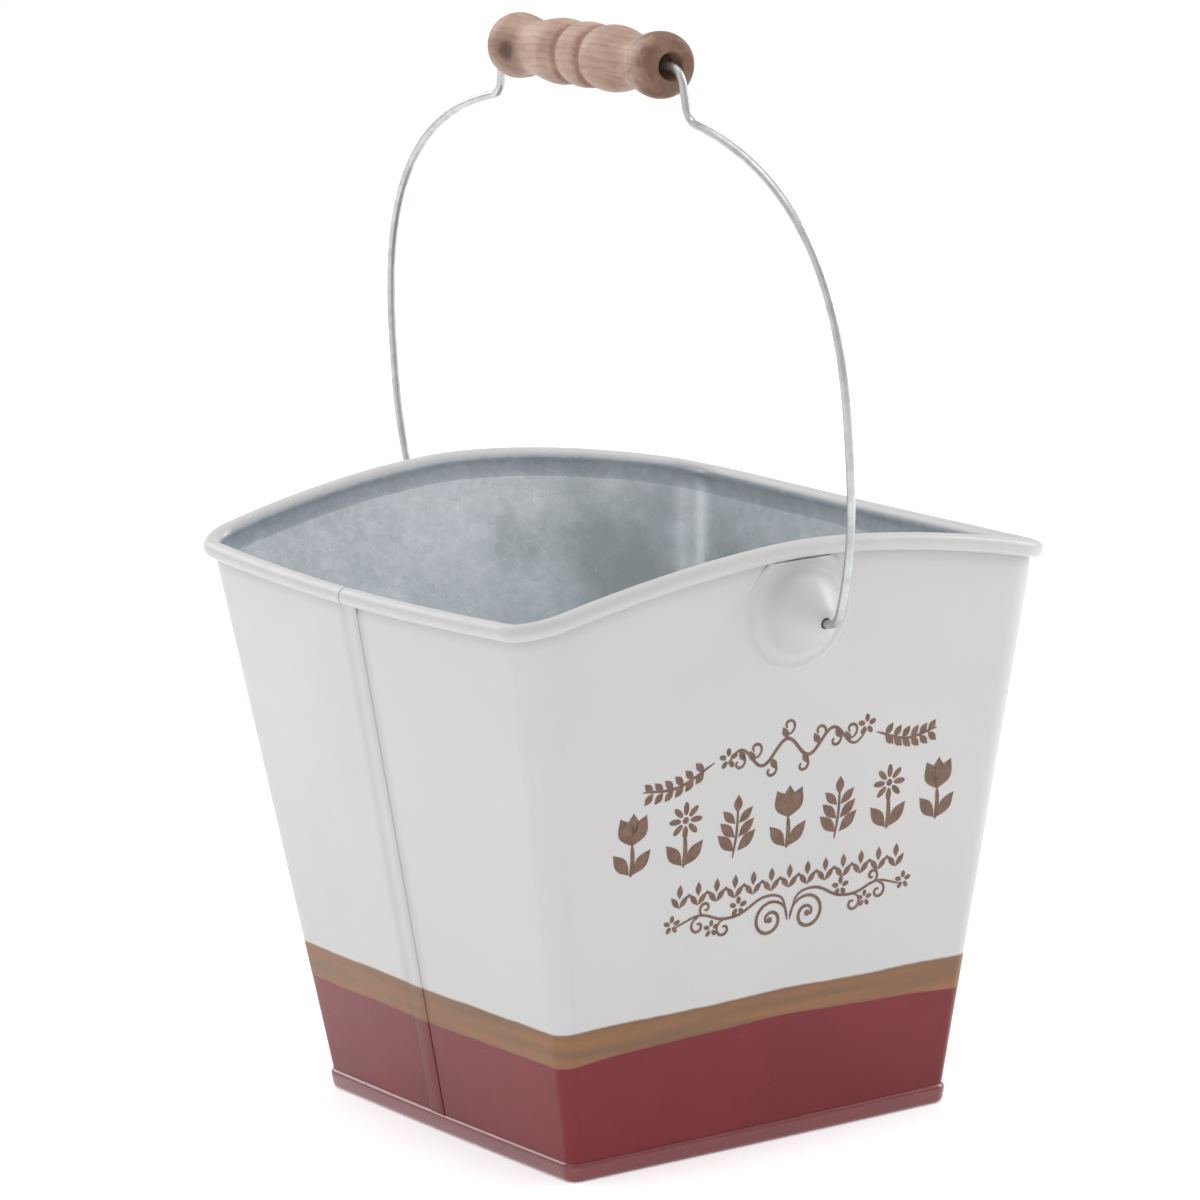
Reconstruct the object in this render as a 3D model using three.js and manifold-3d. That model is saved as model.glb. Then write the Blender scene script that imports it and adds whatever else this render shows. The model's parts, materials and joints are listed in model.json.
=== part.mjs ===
// A square, tapering florist bucket of galvanised sheet, with a wire bail and a turned wooden grip.
//
// Millimetres, +Z up. The origin is on the floor, under the middle of the bucket. The front and
// rear walls, whose rims arch upwards, face -Y and +Y. The wall is one sheet, closed by a lock seam
// down the middle of its -X side. The bail swings about an axis along Y, through the tips of the
// two ears.
import * as THREE from "three";
import { mergeVertices } from "three/addons/utils/BufferGeometryUtils.js";
import Module from "manifold-3d";

const wasm = await Module();
wasm.setup();

// ---------------------------------------------------------------- driving dimensions

// Clearances. Pieces that touch on the real bucket are kept GAP apart.
const GAP = 0.3;
const CURL_CLEARANCE = 0.35; // curled sheet to the wire inside it
const HOLE_CLEARANCE = 0.6; // ear hole to the bail, all round
const BORE_CLEARANCE = 2.7; // grip's bore to the bail, all round

// Wall sheet
const SHEET = 0.6; // thickness of all the sheet metal
const RIM_WIRE = 3.5; // diameter of the wire that stiffens the rim
const MOUTH_HALF = 95; // axis to the rim's centreline, measured square to a side at its corners
const MOUTH_BULGE = 4.3; // how far each side of the rim bows out at its middle
const MOUTH_CORNER = 14; // corner radius of the rim's centreline
const RIM_HEIGHT = 176; // floor to the rim's centreline at the corners
const FRONT_ARCH = 14.2; // how much higher the rim is at the middle of the front and the rear
const SIDE_DIP = 1.7; // how much lower it is at the middle of the sides
const ARCH_POWER = 1.7; // shape of the arch: 2 is a parabola, less is more pointed
const WALL_INSET = 0.4; // wall's outer face to the rim's centreline, if the wall ran on up to it
const NECK_HEIGHT = 5.5; // the wall turns in towards the curl this far under the rim's centreline
const CURL_START = 205; // the curl leaves the neck at this angle, from outward, in degrees
const CURL_END = -118; // and its edge ends here, tucked under the bead
const BASE_HALF = 69.3; // axis to the wall's outer face at the floor
const BASE_BULGE = 0.6; // how far each side of the base bows out
const BASE_CORNER = 5; // corner radius of the wall's outer face at the floor

// Lock seam, the folded joint down the -X wall
const SEAM_WIDTH = 5;
const SEAM_RISE = 0.9; // how far the folds stand out from the wall

// Bottom pan
const PAN_HEM = 6; // height of the hem that is folded up round the foot of the wall
const FLOOR_RISE = 6; // floor to the underside of the pan's panel

// Ears, the pressed domes that hold the bail
const EAR_DROP = 19; // middle of the front rim down to the middle of an ear
const EAR_RISE = 14.5; // wall to the tip of the dome
const DOME_RADIUS = 15; // dome's foot
const TIP_RADIUS = 4.5; // rounded end of the dome
const FLANGE_RADIUS = 19.5; // rim of the flange that is welded to the wall
const TIP_DROP = 0.08 * EAR_RISE; // how far the dome has fallen at TIP_RADIUS
const FLANK_RISE = 0.53 * EAR_RISE; // its height half way down the flank
const FOOT_RISE = 0.12 * EAR_RISE; // flange up to where the flank starts to turn out
const FOOT_RADIUS = 0.88 * DOME_RADIUS; // and the dome's radius there

// Bail
const BAIL_WIRE = 2.6; // diameter
const BAIL_LEAN = 1.8; // how far the bail stands from upright, towards -X, in degrees
const BAIL_RISE = 161; // ear tips to the grip's axis
const BAIL_FLARE = 16.2; // how far each leg bows out past its ear tip
const FLARE_RISE = 49; // ear tips to the widest part of the bail
const CROWN_DROP = 13; // grip's axis down to the crown that the arch of the bail aims at
const CROWN_POWER = 2.8; // shape of the arch: 2 is an ellipse, more is squarer
const ELBOW_OUT = 5.6; // ear tip to the corner of the elbow outside it
const ELBOW_LENGTH = 3.4; // corner of the elbow to each end of its bend
const TAIL_DEPTH = 5.5; // ear tip to the tail of the hook inside the dome
const TAIL_LENGTH = 5; // length of the tail
const TAIL_BEND = 2.2; // bend radius between hook and tail
const SHOULDER_OUT = 11; // end of the grip to the end of the arch
const JOG_OUT = 7.3; // end of the grip to the lower corner of the jog
const JOG_RISE = 0.7; // end of the arch up to the lower corner of the jog
const NECK_OUT = 4.8; // end of the grip to the upper corner of the jog
const NECK_IN = 1; // how far into the grip the upper bend of the jog ends
const JOG_STRAIGHT = [0.3, 0.6]; // shares of the jog, from its lower corner, that stay straight

// Grip
const GRIP_LENGTH = 89;
const GRIP_RADIUS = 10.3; // at its swells
const GRIP_END_RADIUS = 8; // at its end faces
const BALL_RADIUS = 10.2; // at its end balls and its middle bead
const NECK_RADIUS = 8.2; // at the waist beside each end ball
const GROOVE_RADIUS = 9.4; // in the two grooves beside the middle bead
const GROOVE_AT = 0.072 * GRIP_LENGTH; // middle of the grip to a groove
const SWELL_AT = 0.15 * GRIP_LENGTH; // to a swell
const NECK_AT = 0.318 * GRIP_LENGTH; // to a waist
const BALL_AT = 0.4425 * GRIP_LENGTH; // to the widest part of an end ball
const MOUTH_FLARE = 0.6; // how much the bore widens at its mouths

// Fineness of the faceted surfaces
const SIDE_STEPS = 12; // facets along one side of the bucket
const CORNER_STEPS = 6; // facets round one corner
const CURL_STEPS = 12; // facets round the curl
const ROUND_STEPS = 24; // facets round an ear or the grip
const EAR_STEPS = 10; // facets along each span of an ear's section
const GRIP_STEPS = 18; // facets along half the grip
const WIRE_STEPS = 4; // segments of the bail's round section, counted as ExtrudeGeometry does
const BEND_STEPS = 4; // facets along one bend of a wire
const ARCH_STEPS = 16; // facets along half the bail's arch

// Sizes that follow from these
const BEAD_RADIUS = RIM_WIRE / 2 + CURL_CLEARANCE + SHEET;
const QUARTER = Math.PI / 2;
const Z_AXIS = new THREE.Vector3(0, 0, 1);
const LATHE_AXIS = new THREE.Vector3(0, 1, 0); // the axis that LatheGeometry turns about

// ---------------------------------------------------------------- plan of the bucket

// Height of the rim's centreline over a point of its plan.
function rimHeight(x, y) {
  const arch = 1 - Math.min(Math.abs(x / MOUTH_HALF), 1) ** ARCH_POWER;
  const dip = 1 - Math.min(Math.abs(y / MOUTH_HALF), 1) ** ARCH_POWER;
  return RIM_HEIGHT + FRONT_ARCH * arch - SIDE_DIP * dip;
}

// A square outline with bowed sides and round corners, as points with their outward normals. It
// runs anticlockwise from the -Y end of the +X side. Two outlines made by it match point for point.
function squareOutline(half, bulge, corner) {
  const sideRadius = (half * half + bulge * bulge) / (2 * bulge);
  const sideCentre = half + bulge - sideRadius;
  const reach = sideRadius - corner;
  const cornerCentre = (sideCentre + Math.sqrt(2 * reach * reach - sideCentre * sideCentre)) / 2;
  const turn = Math.atan2(cornerCentre, cornerCentre - sideCentre);
  const points = [];
  const addArc = (centre, radius, from, to, steps, quarter) => {
    for (let i = 0; i < steps; i += 1) {
      const angle = THREE.MathUtils.lerp(from, to, i / steps);
      const normal = new THREE.Vector3(Math.cos(angle), Math.sin(angle), 0);
      const at = normal.clone().multiplyScalar(radius).add(centre);
      at.applyAxisAngle(Z_AXIS, quarter * QUARTER);
      normal.applyAxisAngle(Z_AXIS, quarter * QUARTER);
      points.push({ at, normal });
    }
  };
  for (let quarter = 0; quarter < 4; quarter += 1) {
    addArc(new THREE.Vector3(sideCentre, 0, 0), sideRadius, -turn, turn, SIDE_STEPS, quarter);
    const centre = new THREE.Vector3(cornerCentre, cornerCentre, 0);
    addArc(centre, corner, turn, QUARTER - turn, CORNER_STEPS, quarter);
  }
  return points;
}

const baseOutline = squareOutline(BASE_HALF, BASE_BULGE, BASE_CORNER);
const rimOutline = squareOutline(MOUTH_HALF, MOUTH_BULGE, MOUTH_CORNER);
const STATIONS = rimOutline.length;

// The rim's centreline: at each station a point, the outward direction, and the direction that
// is square to both that and the rim itself, which is close to upright.
const rimStations = rimOutline.map(({ at, normal }, i) => {
  const before = rimOutline[(i + STATIONS - 1) % STATIONS].at;
  const after = rimOutline[(i + 1) % STATIONS].at;
  const along = new THREE.Vector3(
    after.x - before.x,
    after.y - before.y,
    rimHeight(after.x, after.y) - rimHeight(before.x, before.y),
  );
  const centre = new THREE.Vector3(at.x, at.y, rimHeight(at.x, at.y));
  return { centre, outward: normal, upright: normal.clone().cross(along).normalize() };
});

// A point of the wall at station i, at height z, standing out from its outer face by out.
function wallPoint(i, z, out) {
  const { centre, outward } = rimStations[i];
  const share = z / centre.z;
  const top = centre.clone().addScaledVector(outward, -WALL_INSET);
  const normal = baseOutline[i].normal.clone().lerp(outward, share).normalize();
  const point = baseOutline[i].at.clone().lerp(top, share).addScaledVector(normal, out);
  point.z = z;
  return point;
}

// A point beside the rim's centreline at station i.
function rimPoint(i, out, up) {
  const { centre, outward, upright } = rimStations[i];
  return centre.clone().addScaledVector(outward, out).addScaledVector(upright, up);
}

// ---------------------------------------------------------------- shaping tools

// Turns a profile once round the bucket: a lathe whose circle is replaced by the bucket's plan.
// Each entry of the profile is a function that gives its point at station i. The profile runs
// anticlockwise, seen with outwards to the right.
function sweepRoundBucket(profile) {
  const plainProfile = profile.map((_, j) => new THREE.Vector2(1, j));
  const geometry = new THREE.LatheGeometry(plainProfile, STATIONS);
  const position = geometry.getAttribute("position");
  for (let i = 0; i <= STATIONS; i += 1) {
    profile.forEach((place, j) => {
      const point = place(i % STATIONS);
      position.setXYZ(i * profile.length + j, point.x, point.y, point.z);
    });
  }
  geometry.computeVertexNormals();
  return geometry;
}

// The outline of a bent sheet: its middle line, thickened to both sides and closed. The middle
// line runs so that the face on its right comes first.
function thicken(middle, thickness) {
  const side = (sign) =>
    middle.map((point, i) => {
      const before = middle[Math.max(i - 1, 0)];
      const after = middle[Math.min(i + 1, middle.length - 1)];
      const along = after.clone().sub(before).normalize();
      const right = new THREE.Vector2(along.y, -along.x);
      return point.clone().addScaledVector(right, (sign * thickness) / 2);
    });
  const outline = [...side(1), ...side(-1).reverse()];
  return [...outline, outline[0].clone()];
}

// A curve whose even steps are the given points, so that bends can have more of them.
class StationCurve extends THREE.Curve {
  constructor(points) {
    super();
    this.points = points;
  }

  getPoint(t) {
    const last = this.points.length - 1;
    const place = THREE.MathUtils.clamp(t, 0, 1) * last;
    const i = Math.min(Math.floor(place), last - 1);
    return this.points[i].clone().lerp(this.points[i + 1], place - i);
  }

  getPointAt(t) {
    return this.getPoint(t);
  }

  getTangentAt(t) {
    return this.getTangent(t);
  }
}

function toSolid(geometry) {
  const bare = geometry.clone();
  bare.deleteAttribute("normal");
  bare.deleteAttribute("uv");
  const merged = mergeVertices(bare);
  return new wasm.Manifold(
    new wasm.Mesh({
      numProp: 3,
      vertProperties: merged.getAttribute("position").array,
      triVerts: new Uint32Array(merged.index.array),
    }),
  );
}

function toGeometry(solid) {
  const { vertProperties, triVerts } = solid.getMesh();
  const geometry = new THREE.BufferGeometry();
  geometry.setAttribute("position", new THREE.BufferAttribute(vertProperties, 3));
  geometry.setIndex(new THREE.BufferAttribute(triVerts, 1));
  geometry.computeVertexNormals();
  return geometry;
}

function namedMesh(name, geometry, material) {
  const mesh = new THREE.Mesh(geometry, material);
  mesh.name = name;
  return mesh;
}

// ---------------------------------------------------------------- materials

const whitePaint = () =>
  new THREE.MeshStandardMaterial({ color: 0xdcdad6, roughness: 0.42, metalness: 0 });

const redPaint = () =>
  new THREE.MeshStandardMaterial({ color: 0x7c2f36, roughness: 0.3, metalness: 0 });

const galvanised = () =>
  new THREE.MeshStandardMaterial({ color: 0xa9b1b3, roughness: 0.45, metalness: 0.9 });

const turnedWood = () =>
  new THREE.MeshStandardMaterial({ color: 0xbe9b87, roughness: 0.7, metalness: 0 });

// ---------------------------------------------------------------- wall, rim wire and bottom

// The curl: from the neck it goes in, over the top, down the outside and back under the bead.
function curlFace(radius) {
  const places = [];
  for (let step = 0; step <= CURL_STEPS; step += 1) {
    const degrees = THREE.MathUtils.lerp(CURL_START, CURL_END, step / CURL_STEPS);
    const angle = THREE.MathUtils.degToRad(degrees);
    places.push((i) => rimPoint(i, radius * Math.cos(angle), radius * Math.sin(angle)));
  }
  return places;
}

// The folds of the lock seam, as a strip that stands on the -X wall from the hem to the curl.
function lockSeam() {
  const middle = 2 * (SIDE_STEPS + CORNER_STEPS) + SIDE_STEPS / 2;
  const foot = wallPoint(middle, PAN_HEM + GAP, 0);
  const head = wallPoint(middle, rimStations[middle].centre.z - NECK_HEIGHT, 0);
  const length = foot.distanceTo(head);
  const depth = SEAM_RISE + SHEET / 2;
  const strip = new THREE.BoxGeometry(depth, SEAM_WIDTH, length);
  strip.translate((SHEET / 2 - SEAM_RISE) / 2, 0, length / 2);
  strip.rotateY(Math.atan2(head.x - foot.x, head.z - foot.z));
  return strip.translate(foot.x, foot.y, foot.z);
}

function wallSheet() {
  const lowEdge = SHEET + GAP;
  const atHeight = (z, out) => (i) => wallPoint(i, z, out);
  const atNeck = (out) => (i) => wallPoint(i, rimStations[i].centre.z - NECK_HEIGHT, out);
  const halfWay = (out) => (i) => wallPoint(i, rimStations[i].centre.z / 2, out);
  const profile = [
    atHeight(lowEdge, 0),
    halfWay(0),
    atNeck(0),
    ...curlFace(BEAD_RADIUS - SHEET),
    ...curlFace(BEAD_RADIUS).reverse(),
    atNeck(-SHEET),
    halfWay(-SHEET),
    atHeight(lowEdge, -SHEET),
    atHeight(lowEdge, 0),
  ];
  const shell = toSolid(sweepRoundBucket(profile));
  return toGeometry(shell.add(toSolid(lockSeam())));
}

// A ring of round wire on the rim's centreline.
function rimRing(radius) {
  const circle = [];
  for (let step = 0; step <= CURL_STEPS; step += 1) {
    const angle = (2 * Math.PI * (step % CURL_STEPS)) / CURL_STEPS;
    circle.push((i) => rimPoint(i, radius * Math.cos(angle), radius * Math.sin(angle)));
  }
  return sweepRoundBucket(circle);
}

// A raised panel whose edge goes down inside the wall, under it, and up outside it as a hem.
function bottomPan() {
  const inner = -SHEET - GAP;
  const hem = GAP;
  const top = FLOOR_RISE + SHEET;
  const onAxis = (z) => () => new THREE.Vector3(0, 0, z);
  const at = (z, out) => (i) => wallPoint(i, z, out);
  return sweepRoundBucket([
    onAxis(FLOOR_RISE),
    at(FLOOR_RISE, inner - SHEET),
    at(0, inner - SHEET),
    at(0, hem + SHEET),
    at(PAN_HEM, hem + SHEET),
    at(PAN_HEM, hem),
    at(SHEET, hem),
    at(SHEET, inner),
    at(top, inner),
    onAxis(top),
  ]);
}

// ---------------------------------------------------------------- ears

const EAR_STATION = 3 * (SIDE_STEPS + CORNER_STEPS) + SIDE_STEPS / 2; // middle of the front
const earHeight = rimStations[EAR_STATION].centre.z - EAR_DROP;
const earFoot = wallPoint(EAR_STATION, earHeight, 0);
const wallFoot = wallPoint(EAR_STATION, 0, 0);
const wallLean = Math.atan2(wallFoot.y - earFoot.y, earHeight);
const earNormal = new THREE.Vector3(0, -Math.cos(wallLean), -Math.sin(wallLean));
const earTip = earFoot.clone().addScaledVector(earNormal, EAR_RISE);

const pivotReach = -earTip.y; // bucket's axis to each ear tip
const pivotHeight = earTip.z;

// The front ear: a pressed dome with a hole at its tip and a flange, tucked under the rim's bead.
function frontEar() {
  const hole = BAIL_WIRE / 2 + HOLE_CLEARANCE;
  const crest = EAR_RISE - SHEET / 2;
  const flange = GAP + SHEET / 2;
  const middle = new THREE.SplineCurve([
    new THREE.Vector2(hole, crest),
    new THREE.Vector2(TIP_RADIUS, crest - TIP_DROP),
    new THREE.Vector2((TIP_RADIUS + DOME_RADIUS) / 2, FLANK_RISE),
    new THREE.Vector2(FOOT_RADIUS, flange + FOOT_RISE),
    new THREE.Vector2(DOME_RADIUS + SHEET, flange),
    new THREE.Vector2(FLANGE_RADIUS, flange),
  ]).getPoints(EAR_STEPS);
  const dome = new THREE.LatheGeometry(thicken(middle.reverse(), SHEET), ROUND_STEPS);
  dome.applyQuaternion(new THREE.Quaternion().setFromUnitVectors(LATHE_AXIS, earNormal));
  dome.translate(earFoot.x, earFoot.y, earFoot.z);
  return toGeometry(toSolid(dome).subtract(toSolid(rimRing(BEAD_RADIUS + GAP))));
}

// ---------------------------------------------------------------- bail and grip

const gripHalf = GRIP_LENGTH / 2;

// Half the bail, as a path of (y, height over the ear tips), from the hook's tail to the middle.
function halfBail() {
  const widest = pivotReach + BAIL_FLARE;
  const crown = BAIL_RISE - CROWN_DROP;
  const tailAt = pivotReach - TAIL_DEPTH;
  const elbow = new THREE.Vector2(pivotReach + ELBOW_OUT, 0);
  const legAim = new THREE.Vector2(widest, FLARE_RISE / 2);
  const elbowEnd = legAim.clone().sub(elbow).setLength(ELBOW_LENGTH).add(elbow);
  const path = new THREE.Path();
  path.moveTo(tailAt, TAIL_LENGTH);
  path.lineTo(tailAt, TAIL_BEND);
  path.quadraticCurveTo(tailAt, 0, tailAt + TAIL_BEND, 0);
  path.lineTo(elbow.x - ELBOW_LENGTH, 0);
  path.quadraticCurveTo(elbow.x, elbow.y, elbowEnd.x, elbowEnd.y);
  path.quadraticCurveTo(legAim.x, legAim.y, widest, FLARE_RISE);
  const archEnd = gripHalf + SHOULDER_OUT;
  const archHeight = (y) =>
    FLARE_RISE + (crown - FLARE_RISE) * (1 - (y / widest) ** CROWN_POWER) ** (1 / CROWN_POWER);
  const lastAngle = Math.acos((archEnd / widest) ** (CROWN_POWER / 2));
  for (let step = 1; step <= ARCH_STEPS; step += 1) {
    const y = widest * Math.cos((lastAngle * step) / ARCH_STEPS) ** (2 / CROWN_POWER);
    path.lineTo(y, archHeight(y));
  }
  const low = new THREE.Vector2(gripHalf + JOG_OUT, archHeight(archEnd) + JOG_RISE);
  const high = new THREE.Vector2(gripHalf + NECK_OUT, BAIL_RISE);
  const [lowEnd, highStart] = JOG_STRAIGHT.map((share) => low.clone().lerp(high, share));
  path.quadraticCurveTo(low.x, low.y, lowEnd.x, lowEnd.y);
  path.lineTo(highStart.x, highStart.y);
  path.quadraticCurveTo(high.x, high.y, gripHalf - NECK_IN, BAIL_RISE);
  return path.getPoints(BEND_STEPS);
}

function bailWire() {
  const half = halfBail();
  const points = [
    ...half.map(({ x, y }) => new THREE.Vector3(0, -x, y)),
    ...half.reverse().map(({ x, y }) => new THREE.Vector3(0, x, y)),
  ];
  const section = new THREE.Shape().absarc(0, 0, BAIL_WIRE / 2, 0, 2 * Math.PI);
  return new THREE.ExtrudeGeometry(section, {
    extrudePath: new StationCurve(points),
    steps: points.length - 1,
    curveSegments: WIRE_STEPS,
    bevelEnabled: false,
  });
}

// The turned grip, as half an outline of (radius, distance from the middle), mirrored and bored.
function grip() {
  const bore = BAIL_WIRE / 2 + BORE_CLEARANCE;
  const outline = new THREE.SplineCurve([
    new THREE.Vector2(BALL_RADIUS, 0),
    new THREE.Vector2(GROOVE_RADIUS, GROOVE_AT),
    new THREE.Vector2(GRIP_RADIUS, SWELL_AT),
    new THREE.Vector2(NECK_RADIUS, NECK_AT),
    new THREE.Vector2(BALL_RADIUS, BALL_AT),
    new THREE.Vector2(GRIP_END_RADIUS, gripHalf),
  ]).getPoints(GRIP_STEPS);
  const lower = outline.slice(1).map(({ x, y }) => new THREE.Vector2(x, -y));
  const profile = [
    ...lower.reverse(),
    ...outline,
    new THREE.Vector2(bore + MOUTH_FLARE, gripHalf),
    new THREE.Vector2(bore, gripHalf - MOUTH_FLARE),
    new THREE.Vector2(bore, MOUTH_FLARE - gripHalf),
    new THREE.Vector2(bore + MOUTH_FLARE, -gripHalf),
  ];
  return new THREE.LatheGeometry([...profile, profile[0]], ROUND_STEPS);
}

// ---------------------------------------------------------------- assembly

const bucket = new THREE.Group();
bucket.add(namedMesh("wall_sheet", wallSheet(), whitePaint()));
bucket.add(namedMesh("rim_wire", rimRing(RIM_WIRE / 2), galvanised()));
bucket.add(namedMesh("bottom_pan", bottomPan(), redPaint()));

const earShape = frontEar();
const rearEar = namedMesh("rear_ear", earShape, whitePaint());
rearEar.rotation.z = Math.PI;
bucket.add(namedMesh("front_ear", earShape, whitePaint()), rearEar);

// The bail's own axes are at the line through the ear tips, and lean as the bail does.
const bailSwing = new THREE.Group();
bailSwing.position.set(0, 0, pivotHeight);
bailSwing.rotation.y = THREE.MathUtils.degToRad(-BAIL_LEAN);
const gripMesh = namedMesh("grip", grip(), turnedWood());
gripMesh.position.z = BAIL_RISE;
bailSwing.add(namedMesh("bail_wire", bailWire(), galvanised()), gripMesh);
bucket.add(bailSwing);

export default bucket;
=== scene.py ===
# %% [markdown]
# # A florist bucket with a wooden grip
# A small square bucket of galvanised sheet, painted white outside with a copper and a red band,
# and carried by a wire bail with a turned grip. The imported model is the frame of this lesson. It
# says where every part is and how it moves, and each cell below makes the fine surface of one
# part in that same frame, in metres.

# %% Load the frame
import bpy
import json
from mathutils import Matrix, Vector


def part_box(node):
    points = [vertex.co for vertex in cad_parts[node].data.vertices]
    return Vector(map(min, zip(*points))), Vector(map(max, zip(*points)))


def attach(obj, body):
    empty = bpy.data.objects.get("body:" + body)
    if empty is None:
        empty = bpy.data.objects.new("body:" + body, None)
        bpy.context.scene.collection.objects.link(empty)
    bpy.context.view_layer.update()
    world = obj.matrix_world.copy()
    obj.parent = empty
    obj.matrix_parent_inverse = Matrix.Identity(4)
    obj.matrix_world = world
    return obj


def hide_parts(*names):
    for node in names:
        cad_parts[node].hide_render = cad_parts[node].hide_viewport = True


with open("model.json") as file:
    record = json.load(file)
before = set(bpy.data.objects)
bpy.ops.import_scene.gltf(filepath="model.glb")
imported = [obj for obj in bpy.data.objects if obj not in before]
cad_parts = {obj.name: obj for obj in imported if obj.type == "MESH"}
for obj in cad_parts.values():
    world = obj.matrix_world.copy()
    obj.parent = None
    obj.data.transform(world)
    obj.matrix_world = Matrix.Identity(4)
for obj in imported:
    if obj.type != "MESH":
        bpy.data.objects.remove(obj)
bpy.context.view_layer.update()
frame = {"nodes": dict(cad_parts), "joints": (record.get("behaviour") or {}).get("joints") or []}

# %% [markdown]
# ## Small helpers
# The others name a finished piece, apply a modifier to it, shade it smooth and print how fine it
# is.

# %% Helpers
import json
import math

import bmesh
import bpy
from mathutils import Matrix, Vector

MM = 0.001
RIGHT_ANGLE = math.pi / 2


def fresh():
    """Leaves edit mode and deselects everything."""
    if bpy.context.object and bpy.context.object.mode != "OBJECT":
        bpy.ops.object.mode_set(mode="OBJECT")
    bpy.ops.object.select_all(action="DESELECT")


def keep_as(name):
    """Names the active object and its mesh."""
    piece = bpy.context.active_object
    piece.name = piece.data.name = name
    return piece


def apply_modifier(piece, kind, **settings):
    """Adds one modifier to the piece, sets it and applies it."""
    fresh()
    bpy.context.view_layer.objects.active = piece
    piece.select_set(True)
    modifier = piece.modifiers.new(kind.title(), kind)
    for key, value in settings.items():
        setattr(modifier, key, value)
    bpy.ops.object.modifier_apply(modifier=modifier.name)


def smooth(piece, degrees=35):
    """Shades the piece smooth, but for edges sharper than this."""
    fresh()
    bpy.context.view_layer.objects.active = piece
    piece.select_set(True)
    bpy.ops.object.shade_smooth_by_angle(angle=math.radians(degrees))


def lerp(a, b, share):
    """The value that is this share of the way from a to b."""
    return a + (b - a) * share


def report(piece):
    """Prints how fine a finished piece is."""
    print(piece.name, len(piece.data.vertices), "vertices,", len(piece.data.polygons), "faces")


# %% [markdown]
# ## Two ways to build a surface
# Most parts here are bent sheet or wire, and two small tools make them all. grid_sheet() adds a
# grid and bends it: column and row tell each vertex where it goes. loft() adds a circle and
# extrudes it once for each further ring, setting every new ring in its place. The station number
# is stored on the circle's vertices, and extruding copies it to the new ones, so each of them
# knows which point of its ring it is. round_ring() works out the points of a ring that is a circle.

# %% Grid and loft
def grid_sheet(name, columns, rows, place):
    """A grid of columns x rows vertices, each moved to place(column, row)."""
    fresh()
    bpy.ops.mesh.primitive_grid_add(x_subdivisions=columns - 1, y_subdivisions=rows - 1, size=1)
    piece = keep_as(name)
    for vertex in piece.data.vertices:
        column = round((vertex.co.x + 0.5) * (columns - 1))
        row = round((vertex.co.y + 0.5) * (rows - 1))
        vertex.co = place(column, row)
    piece.data.update()
    return piece


def loft(name, rings, caps=(False, False)):
    """A circle extruded through rings, which are lists of as many points; caps close the ends."""
    fresh()
    fill = "NGON" if caps[0] else "NOTHING"
    bpy.ops.mesh.primitive_circle_add(vertices=len(rings[0]), fill_type=fill)
    piece = keep_as(name)
    stations = piece.data.attributes.new("station", "INT", "POINT")
    stations.data.foreach_set("value", list(range(len(rings[0]))))
    for vertex, point in zip(piece.data.vertices, rings[0]):
        vertex.co = point
    bpy.ops.object.mode_set(mode="EDIT")
    bpy.ops.mesh.select_mode(type="EDGE")
    for count, ring in enumerate(rings[1:]):
        if count == 0:
            bpy.ops.mesh.select_all(action="SELECT")
        bpy.ops.mesh.extrude_edges_move()
        mesh = bmesh.from_edit_mesh(piece.data)
        layer = mesh.verts.layers.int["station"]
        for vertex in mesh.verts:
            if vertex.select:
                vertex.co = ring[vertex[layer]]
        bmesh.update_edit_mesh(piece.data)
    if caps[1]:
        bpy.ops.mesh.edge_face_add()
    bpy.ops.mesh.select_all(action="SELECT")
    bpy.ops.mesh.normals_make_consistent(inside=False)
    bpy.ops.object.mode_set(mode="OBJECT")
    piece.data.attributes.remove(piece.data.attributes["station"])
    return piece


def round_ring(centre, radius, first, second, sides):
    """Points of a circle in the plane of two directions that are square to each other."""
    angles = [2 * math.pi * side / sides for side in range(sides)]
    return [centre + (first * math.cos(a) + second * math.sin(a)) * radius for a in angles]


print("grid_sheet() and loft() are ready")

# %% [markdown]
# ## The plan of the bucket
# Seen from above the bucket is a square with bowed sides and round corners. At the mouth the
# corners are soft and the sides bow out by a few millimetres; at the base they are crisp and
# nearly straight. Both outlines are made of the same number of arcs and points, so point n of
# one lies under point n of the other, and the wall is made of straight lines between them.

# %% Outlines
SHEET = 0.6 * MM
BEAD_RADIUS = 2.7 * MM
MOUTH_BULGE = 4.3 * MM
MOUTH_CORNER = 14 * MM
MOUTH_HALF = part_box("wall_sheet")[1].x - BEAD_RADIUS - MOUTH_BULGE
FRONT_ARCH = 14.2 * MM
SIDE_DIP = 1.7 * MM
ARCH_POWER = 1.7
RIM_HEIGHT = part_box("wall_sheet")[1].z - BEAD_RADIUS - FRONT_ARCH
WALL_INSET = 0.4 * MM
BASE_HALF = 69.3 * MM
BASE_BULGE = 0.6 * MM
BASE_CORNER = 3.4 * MM
SIDE_STEPS = 48
CORNER_STEPS = 14


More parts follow.
